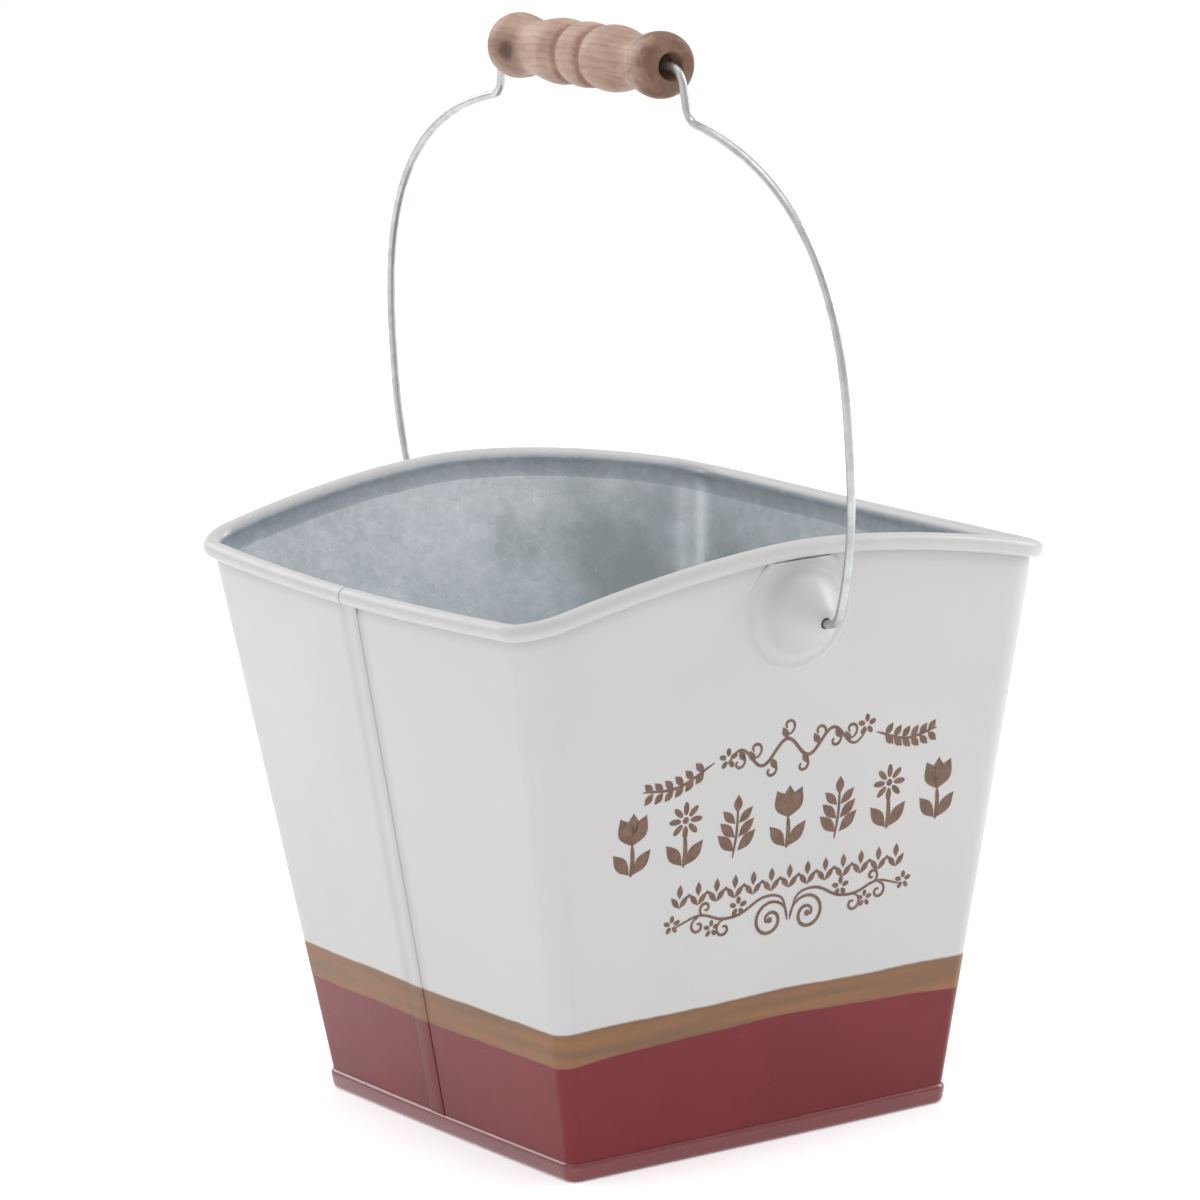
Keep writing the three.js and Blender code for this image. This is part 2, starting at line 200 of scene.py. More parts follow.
def square_outline(half, bulge, corner):
    """Points and outward normals, from the middle of the -X side, round through -Y."""
    side_radius = (half**2 + bulge**2) / (2 * bulge)
    side_centre = half + bulge - side_radius
    reach = side_radius - corner
    corner_centre = (side_centre + math.sqrt(2 * reach**2 - side_centre**2)) / 2
    turn = math.atan2(corner_centre, corner_centre - side_centre)
    side, inner = Vector((side_centre, 0, 0)), Vector((corner_centre, corner_centre, 0))
    next_side = Vector((0, side_centre, 0))
    arcs = [
        (side, side_radius, 0, turn, SIDE_STEPS // 2),
        (inner, corner, turn, RIGHT_ANGLE - turn, CORNER_STEPS),
        (next_side, side_radius, RIGHT_ANGLE - turn, RIGHT_ANGLE, SIDE_STEPS // 2),
    ]
    outline = []
    for quarter in range(4):
        spin = Matrix.Rotation(math.pi + quarter * RIGHT_ANGLE, 3, "Z")
        for centre, radius, start, end, steps in arcs:
            for step in range(steps):
                angle = lerp(start, end, step / steps)
                normal = Vector((math.cos(angle), math.sin(angle), 0))
                outline.append((spin @ (centre + normal * radius), spin @ normal))
    return outline


def rim_height(x, y):
    """Height of the rim's centreline over a point of its plan."""
    arch = 1 - min(abs(x / MOUTH_HALF), 1) ** ARCH_POWER
    dip = 1 - min(abs(y / MOUTH_HALF), 1) ** ARCH_POWER
    return RIM_HEIGHT + FRONT_ARCH * arch - SIDE_DIP * dip


base_outline = square_outline(BASE_HALF, BASE_BULGE, BASE_CORNER)
mouth_outline = square_outline(MOUTH_HALF, MOUTH_BULGE, MOUTH_CORNER)
STATIONS = len(mouth_outline)
print(STATIONS, "stations round the bucket, mouth half", round(MOUTH_HALF / MM, 2), "mm")

# %% [markdown]
# The rim is a line in space: it arches over the front and the rear and dips a little at the
# sides. At each station the bead needs a direction outwards and one that is square to both the
# rim and outwards, so that its section stays round where the rim climbs.

# %% Rim and wall as functions
rim = []
for i in range(STATIONS):
    (x, y, _), outward = mouth_outline[i]
    before, after = mouth_outline[i - 1][0], mouth_outline[(i + 1) % STATIONS][0]
    rise = rim_height(after.x, after.y) - rim_height(before.x, before.y)
    along = Vector((after.x - before.x, after.y - before.y, rise))
    upright = outward.cross(along).normalized()
    rim.append((Vector((x, y, rim_height(x, y))), outward, upright))


def rim_point(station, out, up):
    """A point beside the rim's centreline."""
    centre, outward, upright = rim[station % STATIONS]
    return centre + outward * out + upright * up


def wall_point(station, z, out):
    """A point of the wall at height z, standing out from its outer face by out."""
    station %= STATIONS
    centre, outward, _ = rim[station]
    share = z / centre.z
    foot, foot_normal = base_outline[station]
    normal = foot_normal.lerp(outward, share).normalized()
    point = foot.lerp(centre - outward * WALL_INSET, share) + normal * out
    point.z = z
    return point


print("front rim at", round(rim[STATIONS // 4][0].z / MM, 1), "mm")

# %% [markdown]
# ## The wall sheet
# The real wall is one flat sheet, rolled round and hooked to itself in a lock seam, with its upper
# edge curled over a wire. So the surface starts as a flat grid as well. Its columns go once round
# the bucket and its rows climb the wall, turn in at the neck and run round the curl. The two ends
# of the grid meet at the seam with a slit between them, which shows as a small notch in the bead.
# A Solidify modifier then gives the sheet its thickness and closes all its edges.

# %% Wall sheet
WALL_ROWS = 26
NECK_ROWS = 8
CURL_ROWS = 30
NECK_DROP = 6.6 * MM
NECK_AIM = 1.2 * MM
CURL_START = math.radians(205)
CURL_END = math.radians(-118)
CURL_NUDGE = 0.1
SEAM_SLIT = 0.5 * MM
WALL_FOOT = 0.9 * MM
curl_radius = BEAD_RADIUS - SHEET / 2


def curl_point(station, angle):
    """A point of the curl's middle surface; angle 0 is outwards."""
    return rim_point(station, curl_radius * math.cos(angle), curl_radius * math.sin(angle))


def neck_point(station, share):
    """A smooth bend from the wall's straight part to the start of the curl."""
    z = rim[station % STATIONS][0].z - NECK_DROP
    start = wall_point(station, z, -SHEET / 2)
    climb = (start - wall_point(station, z - NECK_DROP, -SHEET / 2)).normalized()
    end = curl_point(station, CURL_START)
    arrive = (curl_point(station, CURL_START - CURL_NUDGE) - end).normalized()
    aims = start + climb * NECK_AIM, end - arrive * NECK_AIM
    rest = 1 - share
    return (
        start * rest**3
        + aims[0] * 3 * rest**2 * share
        + aims[1] * 3 * rest * share**2
        + end * share**3
    )


def wall_place(column, row):
    """Where the grid's vertex goes."""
    if row <= WALL_ROWS:
        top = rim[column % STATIONS][0].z - NECK_DROP
        point = wall_point(column, lerp(WALL_FOOT, top, row / WALL_ROWS), -SHEET / 2)
    elif row <= WALL_ROWS + NECK_ROWS:
        point = neck_point(column, (row - WALL_ROWS) / NECK_ROWS)
    else:
        share = (row - WALL_ROWS - NECK_ROWS) / CURL_ROWS
        point = curl_point(column, lerp(CURL_START, CURL_END, share))
    if column == 0:
        point.y -= SEAM_SLIT / 2
    elif column == STATIONS:
        point.y += SEAM_SLIT / 2
    return point


wall_rows = WALL_ROWS + NECK_ROWS + CURL_ROWS + 1
wall = grid_sheet("wall_shell", STATIONS + 1, wall_rows, wall_place)
report(wall)

# %% [markdown]
# The outside of the wall is painted and the inside is bare zinc, but on the curl the inside of
# the sheet is what faces out, so there the two change places. Solidify can hand the faces that it
# adds to another material slot: here it always adds one to the number of the slot. The wall's
# faces get slot 0, so their backs get slot 1, and the curl's get slot 1, so theirs get slot 2.
# The neck and the first, shaded rows of the curl get slots 3 and 4 in the same way: their zinc
# has darker greys, as painted shade. Slots 0, 2 and 3 hold paint, and slots 1 and 4 zinc.

# %% Give the wall its sides and thickness
PAINT, ZINC, NECK = 0, 1, 3
SHADED_ROWS = 4
CURL_FROM = WALL_ROWS + NECK_ROWS + SHADED_ROWS
for face in wall.data.polygons:
    row = face.index // STATIONS
    face.material_index = PAINT if row < WALL_ROWS else NECK if row < CURL_FROM else ZINC
for slot_name in ("paint", "zinc", "bead", "neck_paint", "shaded_neck_zinc"):
    wall.data.materials.append(bpy.data.materials.new("placeholder_" + slot_name))
apply_modifier(wall, "SOLIDIFY", thickness=SHEET, offset=0, use_rim=True, material_offset=1)
smooth(wall)
report(wall)

# %% [markdown]
# ## The lock seam
# Where the two ends of the sheet hook into each other, the folds stand out from the wall as a flat
# ridge with rounded edges. A cube makes it: stretched to a bar, its long outer edges bevelled, and
# then tilted to lie along the wall. The wall is straight there from its foot to the neck, so the
# bar needs no bending, and its upper end is hidden in the bead. The seam runs a little
# askew: it starts behind the wall's middle at the foot and reaches the middle at the rim.

# %% Lock seam
HEM_HEIGHT = 6 * MM
SEAM_WIDTH = 7.8 * MM
SEAM_SHIFT_FOOT = 3.9 * MM
SEAM_SHIFT_HEAD = -0.2 * MM
SEAM_RISE = 0.28 * MM
SEAM_SINK = 0.2 * MM
SEAM_ROUND = 0.27 * MM
ROUND_STEPS = 5
seam_foot = wall_point(0, HEM_HEIGHT - SEAM_RISE, 0)
seam_head = wall_point(0, rim[0][0].z - BEAD_RADIUS / 2, 0)
seam_foot.y, seam_head.y = SEAM_SHIFT_FOOT, SEAM_SHIFT_HEAD
seam_line = seam_head - seam_foot


def lock_seam():
    """A bar with its long outer edges rounded, laid along the wall."""
    fresh()
    bpy.ops.mesh.primitive_cube_add(size=1)
    bpy.ops.object.mode_set(mode="EDIT")
    depth = SEAM_RISE + SEAM_SINK
    bpy.ops.transform.resize(value=(depth, SEAM_WIDTH, seam_line.length))
    bpy.ops.transform.translate(value=((SEAM_SINK - SEAM_RISE) / 2, 0, seam_line.length / 2))
    bpy.ops.mesh.select_mode(type="EDGE")
    bpy.ops.mesh.select_all(action="DESELECT")
    mesh = bmesh.from_edit_mesh(bpy.context.object.data)
    for edge in mesh.edges:
        a, b = (v.co for v in edge.verts)
        upright = abs(a.z - b.z) > SEAM_WIDTH
        edge.select_set(upright and a.x < -SEAM_SINK)
    bpy.ops.mesh.bevel(offset=SEAM_ROUND, segments=ROUND_STEPS, profile=0.5)
    bpy.ops.object.mode_set(mode="OBJECT")
    piece = keep_as("lock_seam")
    drift = Matrix.Rotation(-math.atan2(seam_line.y, seam_line.z), 4, "X")
    lean = Matrix.Rotation(math.atan2(seam_line.x, seam_line.z), 4, "Y")
    piece.data.transform(Matrix.Translation(seam_foot) @ drift @ lean)
    return piece


seam = lock_seam()
smooth(seam, 50)
report(seam)

# %% [markdown]
# ## The bottom pan
# The bottom is a panel that stands a few millimetres off the floor. Its edge goes down inside the
# wall, under it and up outside it as a hem, which is what the bucket stands on. One section
# line, lofted round the bucket, gives all of that: the middle of the panel is the first ring, and
# the top of the hem the last. The panel is left as bare zinc, and the rest is painted, so the
# faces of the first rings go to the zinc's slot.

# %% Bottom pan
FLOOR_RISE = 6.3 * MM
HEM_OUT = 0.85 * MM
LIP_IN = -1.2 * MM
FOOT_Z = SHEET / 2
FOLD = 0.75 * MM
FOOT_ROUND = 1.2 * MM
HEM_ROUND = 1.7 * MM
FOLD_STEPS = 5
HEM_LEAN = 75


def arc_section(out, z, radius, start, end, steps=FOLD_STEPS):
    """(out, z) points of an arc round a centre; angles in degrees from outwards."""
    angles = [math.radians(lerp(start, end, step / steps)) for step in range(steps + 1)]
    return [(out + radius * math.cos(a), z + radius * math.sin(a)) for a in angles]


hem_top = HEM_HEIGHT - HEM_ROUND
pan_section = (
    [(LIP_IN - 2 * FOLD, FLOOR_RISE)]
    + arc_section(LIP_IN - FOLD, FLOOR_RISE - FOLD, FOLD, 90, 0)
    + arc_section(LIP_IN + FOLD, FOOT_Z + FOLD, FOLD, 180, 270)
    + arc_section(HEM_OUT - FOOT_ROUND, FOOT_Z + FOOT_ROUND, FOOT_ROUND, 270, 360)
    + arc_section(HEM_OUT - HEM_ROUND, hem_top, HEM_ROUND, 0, HEM_LEAN, 2 * FOLD_STEPS)
)
pan_rings = [[wall_point(i, z, out) for i in range(STATIONS)] for out, z in pan_section]
pan = loft("bottom_shell", pan_rings, caps=(True, False))
PANEL_RINGS = 2 + FOLD_STEPS
for face in pan.data.polygons:
    ring = max(face.vertices) // STATIONS
    face.material_index = ZINC if ring < PANEL_RINGS else PAINT
for slot_name in ("hem", "panel"):
    pan.data.materials.append(bpy.data.materials.new("placeholder_" + slot_name))
apply_modifier(pan, "SOLIDIFY", thickness=SHEET, offset=0, use_rim=True)
smooth(pan)
report(pan)

# %% [markdown]
# ## The ears
# An ear is a pressed disc: a steep dome with a hole at its tip, and a flange that is welded to the
# wall. It is lofted outwards from the hole, ring by ring, about an axis square to the wall. The
# flange's edge is pressed down into the wall, where paint fills the joint. The flange is too large
# for the room under the rim's bead, so it is cut straight there with Bisect, and Solidify gives
# the sheet its thickness. The rear ear is a copy, turned half round.

# %% Ears
EAR_RISE = 14.5 * MM
EAR_DROP = 19 * MM
DOME_RADIUS = 15 * MM
FLANGE_RADIUS = 19.4 * MM
TIP_RADIUS = 4.5 * MM
BAIL_RADIUS = 1.3 * MM
EAR_HOLE = BAIL_RADIUS + 0.4 * MM
FRONT = STATIONS // 4
EAR_SIDES = 72
FLANGE_CUT = 15.7 * MM
FLANGE_LIFT = 0.1 * MM
SPAN_STEPS = 6
ear_foot = wall_point(FRONT, rim[FRONT][0].z - EAR_DROP, 0)
wall_run = ear_foot - wall_point(FRONT, 0, 0)
ear_up = wall_run.normalized()
ear_out = Vector((1, 0, 0)).cross(ear_up)
ear_tip = ear_foot + ear_out * EAR_RISE
print("ear tip", [round(c / MM, 2) for c in ear_tip])


def smooth_line(points, steps):
    """Points on a Catmull-Rom curve through these points, steps to each span."""
    ends = [points[0] * 2 - points[1], *points, points[-1] * 2 - points[-2]]
    line = []
    for a, b, c, d in zip(ends, ends[1:], ends[2:], ends[3:]):
        for step in range(steps):
            t = step / steps
            rising = (c - a) * t + (a * 2 - b * 5 + c * 4 - d) * t**2
            line.append(b + (rising + (b * 3 - a - c * 3 + d) * t**3) / 2)
    return [*line, points[-1]]


def ear_section():
    """(radius, rise) points of the ear's middle surface, from the hole to the flange's edge."""
    crest = EAR_RISE - SHEET / 2
    points = [
        (EAR_HOLE, crest),
        (TIP_RADIUS, crest - 0.08 * EAR_RISE),
        ((TIP_RADIUS + DOME_RADIUS) / 2, 0.53 * EAR_RISE),
        (0.88 * DOME_RADIUS, FLANGE_LIFT + 0.12 * EAR_RISE),
        (DOME_RADIUS + 1.2 * MM, FLANGE_LIFT),
        (FLANGE_RADIUS - MM, FLANGE_LIFT),
        (FLANGE_RADIUS, -SHEET / 2),
    ]
    return smooth_line([Vector(p) for p in points], SPAN_STEPS)


def front_ear():
    """The ear's section lofted about its axis, cut straight under the bead and made a sheet."""
    sideways = Vector((1, 0, 0))
    rings = [
        round_ring(ear_foot + ear_out * rise, radius, sideways, ear_up, EAR_SIDES)
        for radius, rise in ear_section()
    ]
    piece = loft("front_ear_shell", rings)
    bpy.ops.object.mode_set(mode="EDIT")
    bpy.ops.mesh.select_all(action="SELECT")
    cut = ear_foot + ear_up * FLANGE_CUT
    bpy.ops.mesh.bisect(plane_co=cut, plane_no=ear_up, clear_outer=True)
    bpy.ops.object.mode_set(mode="OBJECT")
    apply_modifier(piece, "SOLIDIFY", thickness=SHEET, offset=0, use_rim=True)
    smooth(piece)
    return piece


ear = front_ear()
fresh()
ear.select_set(True)
bpy.context.view_layer.objects.active = ear
bpy.ops.object.duplicate()
rear_ear = keep_as("rear_ear_shell")
rear_ear.data.transform(Matrix.Rotation(math.pi, 4, "Z"))
report(ear)

# %% [markdown]
# ## The bail
# The bail is one piece of wire: a hook at each end, caught inside an ear, a tall arch, and a jog at
# each side of the grip that keeps it in the middle. Its centreline is drawn in the plane of the
# bail, as distance from the middle and height over the ear tips, and a circle is extruded along
# it. It stands a little off upright, leaning about the line through the ear tips.

# %% Bail centreline
joints = {joint["name"]: joint for joint in frame["joints"]}
pivot = Vector(joints["bail_swing"]["pos_m"])
grip_centre = Vector(joints["grip_spin"]["pos_m"])
lean_line = grip_centre - pivot
BAIL_RISE = lean_line.length
bail_plane = Matrix.Translation(pivot) @ Matrix.Rotation(
    math.atan2(lean_line.x, lean_line.z), 4, "Y"
)
grip_half = (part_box("grip")[1].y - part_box("grip")[0].y) / 2
BAIL_FLARE = 16.2 * MM
FLARE_RISE = 49 * MM
CROWN_DROP = 13 * MM
CROWN_POWER = 2.8
ELBOW_OUT = 5.6 * MM
ELBOW_LENGTH = 4.6 * MM
TAIL_DEPTH = 5.5 * MM
TAIL_LENGTH = 5 * MM
TAIL_BEND = 2.2 * MM
SHOULDER_OUT = 11 * MM
JOG_OUT = 7.3 * MM
JOG_DROP = 0.7 * MM
NECK_OUT = 4.8 * MM
BEND_STEPS = 10
ARCH_STEPS = 44


def bend(start, corner, end):
    """A rounded corner: points of a quadratic curve, without its first one."""
    steps = [step / BEND_STEPS for step in range(1, BEND_STEPS + 1)]
    return [start * (1 - t) ** 2 + corner * 2 * t * (1 - t) + end * t**2 for t in steps]


def half_bail():
    """(distance from the middle, height) points from the hook's tail to the middle."""
    reach = -ear_tip.y
    widest = reach + BAIL_FLARE
    crown = BAIL_RISE - CROWN_DROP
    tail = reach - TAIL_DEPTH
    elbow = Vector((reach + ELBOW_OUT, 0))
    leg_aim = Vector((widest, FLARE_RISE / 2))
    elbow_end = elbow + (leg_aim - elbow).normalized() * ELBOW_LENGTH
    line = [Vector((tail, TAIL_LENGTH)), Vector((tail, TAIL_BEND))]
    line += bend(line[-1], Vector((tail, 0)), Vector((tail + TAIL_BEND, 0)))
    line.append(elbow - Vector((ELBOW_LENGTH, 0)))
    line += bend(line[-1], elbow, elbow_end)
    line += bend(line[-1], leg_aim, Vector((widest, FLARE_RISE)))
    arch_end = grip_half + SHOULDER_OUT
    last = math.acos((arch_end / widest) ** (CROWN_POWER / 2))
    for step in range(1, ARCH_STEPS + 1):
        out = widest * math.cos(last * step / ARCH_STEPS) ** (2 / CROWN_POWER)
        rise = (1 - (out / widest) ** CROWN_POWER) ** (1 / CROWN_POWER)
        line.append(Vector((out, lerp(FLARE_RISE, crown, rise))))
    low = Vector((grip_half + JOG_OUT, line[-1].y + JOG_DROP))
    high = Vector((grip_half + NECK_OUT, BAIL_RISE))
    line += bend(line[-1], low, low.lerp(high, 0.3))
    line.append(low.lerp(high, 0.6))
    line += bend(line[-1], high, Vector((grip_half - MM, BAIL_RISE)))
    return line


half = half_bail()
bail_line = [Vector((0, -out, up)) for out, up in half]
bail_line += [Vector((0, out, up)) for out, up in reversed(half)]
print("bail of", len(bail_line), "points")

# %% [markdown]
# Each ring of the wire is square to the line through its neighbours. The bail lies in one plane,
# so the direction square to that plane serves every ring as its second axis, and nothing twists.

# %% Bail
WIRE_SIDES = 20


def wire_rings(line, radius, across):
    """Rings of a round wire along a line that lies in the plane square to across."""
    rings = []
    for i, centre in enumerate(line):
        along = line[min(i + 1, len(line) - 1)] - line[max(i - 1, 0)]
        sideways = along.normalized().cross(across)
        rings.append(round_ring(centre, radius, sideways, across, WIRE_SIDES))
    return rings


bail = loft("bail", wire_rings(bail_line, BAIL_RADIUS, Vector((1, 0, 0))), caps=(True, True))
bail.data.transform(bail_plane)
smooth(bail)
report(bail)

# %% [markdown]
# ## The grip
# A grip is turned on a lathe, so it is made with Spin: half its outline is drawn as a chain of
# vertices, by extruding one vertex from place to place, and swept once round the axis. The outline
# runs from the bore out over the end face, the ball, the waist, the swell and the middle bead,
# and back into the bore, so the turned shape is closed.

# %% Grip
GRIP_RADIUS = 10.28 * MM
GRIP_END_RADIUS = 8 * MM
REAR_NECK = 8.4 * MM
FRONT_NECK = 7.9 * MM
GROOVE_RADIUS = 8.7 * MM
GROOVE_AT = 0.144 * grip_half
BORE = BAIL_RADIUS + 2.7 * MM
MOUTH_FLARE = 0.6 * MM
EDGE = 0.5 * MM
GRIP_TURNS = 96


def half_outline(neck):
    """(radius, distance from the middle) points of one half, with a neck of that radius."""
    shape = [
        (GRIP_RADIUS - 0.1 * MM, 0),
        (GRIP_RADIUS - 0.45 * MM, 0.085 * grip_half),
        (GROOVE_RADIUS, GROOVE_AT),
        (GRIP_RADIUS - 0.6 * MM, 0.2 * grip_half),
        (GRIP_RADIUS, 0.3 * grip_half),
        (GRIP_RADIUS - 0.45 * MM, 0.42 * grip_half),
        (neck, 0.63 * grip_half),
        (GRIP_RADIUS - 0.6 * MM, 0.78 * grip_half),
        (GRIP_RADIUS - 0.05 * MM, 0.88 * grip_half),
        (GRIP_RADIUS - 0.8 * MM, 0.96 * grip_half),
        (GRIP_END_RADIUS + EDGE / 2, grip_half - EDGE / 2),
        (GRIP_END_RADIUS - EDGE / 2, grip_half),
    ]
    return [
        *smooth_line([Vector(p) for p in shape], SPAN_STEPS),
        Vector((BORE + MOUTH_FLARE + EDGE / 2, grip_half)),
        Vector((BORE + MOUTH_FLARE, grip_half - EDGE / 3)),
        Vector((BORE, grip_half - MOUTH_FLARE - EDGE)),
    ]


def grip_outline():
    """The whole outline, from the bore's front mouth to its rear mouth."""
    front, rear = half_outline(FRONT_NECK), half_outline(REAR_NECK)
    return [Vector((r, -d)) for r, d in reversed(front[1:])] + rear


def turned_grip():
    """The outline, drawn by extruding one vertex, swept once round the axis."""
    fresh()
    outline = grip_outline()
    bpy.ops.mesh.primitive_plane_add(size=MM)
    bpy.ops.object.mode_set(mode="EDIT")
    bpy.ops.mesh.select_mode(type="VERT")
    bpy.ops.mesh.select_all(action="SELECT")
    bpy.ops.mesh.merge(type="CENTER")
    here = outline[0]
    bpy.ops.transform.translate(value=(here.x, here.y, 0))
    for point in outline[1:]:
        step = point - here
        bpy.ops.mesh.extrude_region_move(TRANSFORM_OT_translate={"value": (step.x, step.y, 0)})
        here = point
    back = outline[0] - here
    bpy.ops.mesh.extrude_region_move(TRANSFORM_OT_translate={"value": (back.x, back.y, 0)})
    bpy.ops.mesh.select_all(action="SELECT")
    bpy.ops.mesh.spin(steps=GRIP_TURNS, angle=2 * math.pi, center=(0, 0, 0), axis=(0, 1, 0))
    bpy.ops.mesh.select_all(action="SELECT")
    bpy.ops.mesh.remove_doubles(threshold=0.01 * MM)
    bpy.ops.mesh.normals_make_consistent(inside=False)
    bpy.ops.object.mode_set(mode="OBJECT")
    piece = keep_as("wooden_grip")
    piece.data.transform(Matrix.Translation(grip_centre))
    return piece


grip = turned_grip()
smooth(grip, 40)
report(grip)

# %% [markdown]
# ## The printed ornament
# A transfer print decorates the front: rows of small flowers and leaves over a pair of scrolls,
# all in one brown ink. Ink lies on the paint as a film, so the print is thin flat shapes laid on
# the wall. First come the three templates that everything is built from: a pointed leaf and a
# round petal, which are reshaped circles, and a stroke, which is a grid bent along a line.

# %% Templates of the print
LEAF_POINTS = 14
STROKE_STEPS = 5
FINE = 0.9 * MM
BOLD = 1.5 * MM


def flat_shape(name, width_at):
    """A circle reshaped to a flat form one unit long from the origin along +X."""
    fresh()
    bpy.ops.mesh.primitive_circle_add(vertices=2 * LEAF_POINTS, radius=0.5, fill_type="NGON")
    piece = keep_as(name)
    for vertex in piece.data.vertices:
        x = vertex.co.x + 0.5
        side = math.copysign(1, vertex.co.y) if abs(vertex.co.y) > 1e-6 else 0
        vertex.co = (x, side * width_at(min(max(x, 0), 1)), 0)
    return piece


leaf = flat_shape("leaf_template", lambda x: 0.2 * math.sin(math.pi * x) ** 1.2)
petal = flat_shape("petal_template", lambda x: 0.5 * math.sqrt(x) * math.sqrt(1 - x))
print_shapes = []


def lay(template, x, z, length, degrees, width=1.0):
    """A copy of a template, that long, with its foot at x, z and turned by some degrees."""
    fresh()
    template.select_set(True)
    bpy.context.view_layer.objects.active = template
    bpy.ops.object.duplicate()
    copy = bpy.context.active_object
    turn = Matrix.Rotation(math.radians(degrees), 4, "Z")
    size = Matrix.Diagonal((length, length * width, 1, 1))
    copy.data.transform(Matrix.Translation((x, z, 0)) @ turn @ size)
    print_shapes.append(copy)


def stroke(points, width):
    """A ribbon along (x, z) points, narrower at both ends."""
    line = smooth_line([Vector(p) for p in points], STROKE_STEPS)
    last = len(line) - 1

    def place(column, row):
        along = (line[min(column + 1, last)] - line[max(column - 1, 0)]).normalized()
        share = 0.35 + 0.65 * math.sin(math.pi * column / last) ** 0.4
        offset = Vector((-along.y, along.x)) * (row - 0.5) * width * share
        return (*(line[column] + offset), 0)

    print_shapes.append(grid_sheet("stroke", len(line), 2, place))


def dot(x, z, radius):
    """A small round spot."""
    lay(petal, x - radius, z, 2 * radius, 0, 2)


print("templates of", len(leaf.data.vertices), "vertices")

# %% [markdown]
# The bold row stands where the eye goes first: tulips, daisies and leaf pairs in turn, each as
# tall as the row. A daisy is a ring of petals on a stem, and a tulip three leaves in a cup.

# %% Bold row of flowers
ROW_FOOT = 95.5 * MM
ROW_RISE = 20 * MM
PITCH = 18.8 * MM
ROW_MIDDLE = 1.5 * MM
DAISY_PETALS = 8
DAISY_EYE = 1.7 * MM


def stem(x, top):
    """A stalk with a leaf at each side of its foot."""
    stroke([(x, ROW_FOOT), (x + 0.4 * MM, lerp(ROW_FOOT, top, 0.5)), (x, top)], BOLD)
    for side in (-1, 1):
        foot = x + side * 0.5 * MM, ROW_FOOT + 0.5 * MM
        lay(leaf, *foot, 0.48 * ROW_RISE, 90 - side * 40, 1.1)


def tulip(x):
    """Three leaves in a cup on a stem."""
    cup = ROW_FOOT + 0.5 * ROW_RISE
    stem(x, cup)
    for lean in (-27, 0, 27):
        lay(leaf, x, cup - 0.3 * MM, 0.52 * ROW_RISE, 90 + lean, 1.35)


def daisy(x):
    """A ring of petals round a dot on a stem."""
    heart = ROW_FOOT + 0.74 * ROW_RISE
    stem(x, heart - 4.5 * MM)
    for turn in range(DAISY_PETALS):
        angle = 360 * turn / DAISY_PETALS + 90
        way = math.radians(angle)
        foot = x + DAISY_EYE * math.cos(way), heart + DAISY_EYE * math.sin(way)
        lay(petal, *foot, 0.21 * ROW_RISE, angle, 0.9)
    dot(x, heart, 1.1 * MM)


def leaf_spray(x):
    """Three pairs of leaves and one at the tip."""
    middle, top = ROW_FOOT + 0.4 * ROW_RISE, ROW_FOOT + 0.86 * ROW_RISE
    stroke([(x - MM, ROW_FOOT), (x, middle), (x, top)], FINE)
    lay(leaf, x, ROW_FOOT + 0.7 * ROW_RISE, 0.3 * ROW_RISE, 90, 1.3)
    for level in range(3):
        foot = ROW_FOOT + (0.1 + 0.22 * level) * ROW_RISE
        for side in (-1, 1):
            start = x + side * 0.6 * MM
            lay(leaf, start, foot, (0.44 - 0.05 * level) * ROW_RISE, 90 - side * 46, 1.05)


row = [tulip, daisy, leaf_spray, tulip, leaf_spray, daisy, tulip]
for place, motif in enumerate(row):
    motif(ROW_MIDDLE + (place - len(row) // 2) * PITCH)
print("bold row of", len(print_shapes), "shapes")

# %% [markdown]
# Over it runs a fine vine between two sprigs, and under it a thin border and a pair of scrolls.
# Spirals and waves are worked out point by point, and the right half of a symmetric figure is the
# left one with its x turned round.

# %% Vine and sprigs
VINE_Z = 126 * MM
VINE_START, VINE_END = -22 * MM, 29 * MM
VINE_STEPS = 26
VINE_WAVE = 17 * MM
VINE_SWING = 3.4 * MM
VINE_CLIMB = 0.06
VINE_BOLD = 1.1 * MM
TENDRIL_RISE = 4 * MM
TENDRIL_RADIUS = 2.8 * MM
VINE_BLOSSOM = 3.4 * MM
SPRIG_PAIRS = 6
SPRIG_LEAF = 4.6 * MM
SPRIG_SAG = 0.12


def spiral(x, z, radius, start, turns, grow=0.82):
    """(x, z) points that wind inwards from the circle of that radius round x, z."""
    steps = round(abs(turns) * 12)
    points = []
    for step in range(steps + 1):
        angle = math.radians(start) + 2 * math.pi * turns * step / steps
        reach = radius * (1 - grow * step / steps)
        points.append((x + reach * math.cos(angle), z + reach * math.sin(angle)))
    return points


def blossom(x, z, radius, petals=5):
    """A small open flower."""
    for turn in range(petals):
        angle = 360 * turn / petals + 90
        way = math.radians(angle)
        foot = x + 0.25 * radius * math.cos(way), z + 0.25 * radius * math.sin(way)
        lay(petal, *foot, 0.75 * radius, angle, 1.3)


def sprig(x, z, length, rise, side):
    """A leafy branch from x, z; side is 1 to the right and -1 to the left."""
    tip = x + side * length, z + rise
    middle = lerp(x, tip[0], 0.5), lerp(z, tip[1], 0.5) - SPRIG_SAG * length
    stroke([(x, z), middle, tip], FINE)
    for pair in range(1, SPRIG_PAIRS + 1):
        share = pair / (SPRIG_PAIRS + 1)
        foot_z = lerp(z, tip[1], share) - 4 * SPRIG_SAG * length * share * (1 - share)
        for lean in (58, -38):
            ahead = math.degrees(math.atan2(rise, length)) + lean
            way = ahead if side > 0 else 180 - ahead
            lay(leaf, lerp(x, tip[0], share), foot_z, SPRIG_LEAF, way, 1.3)


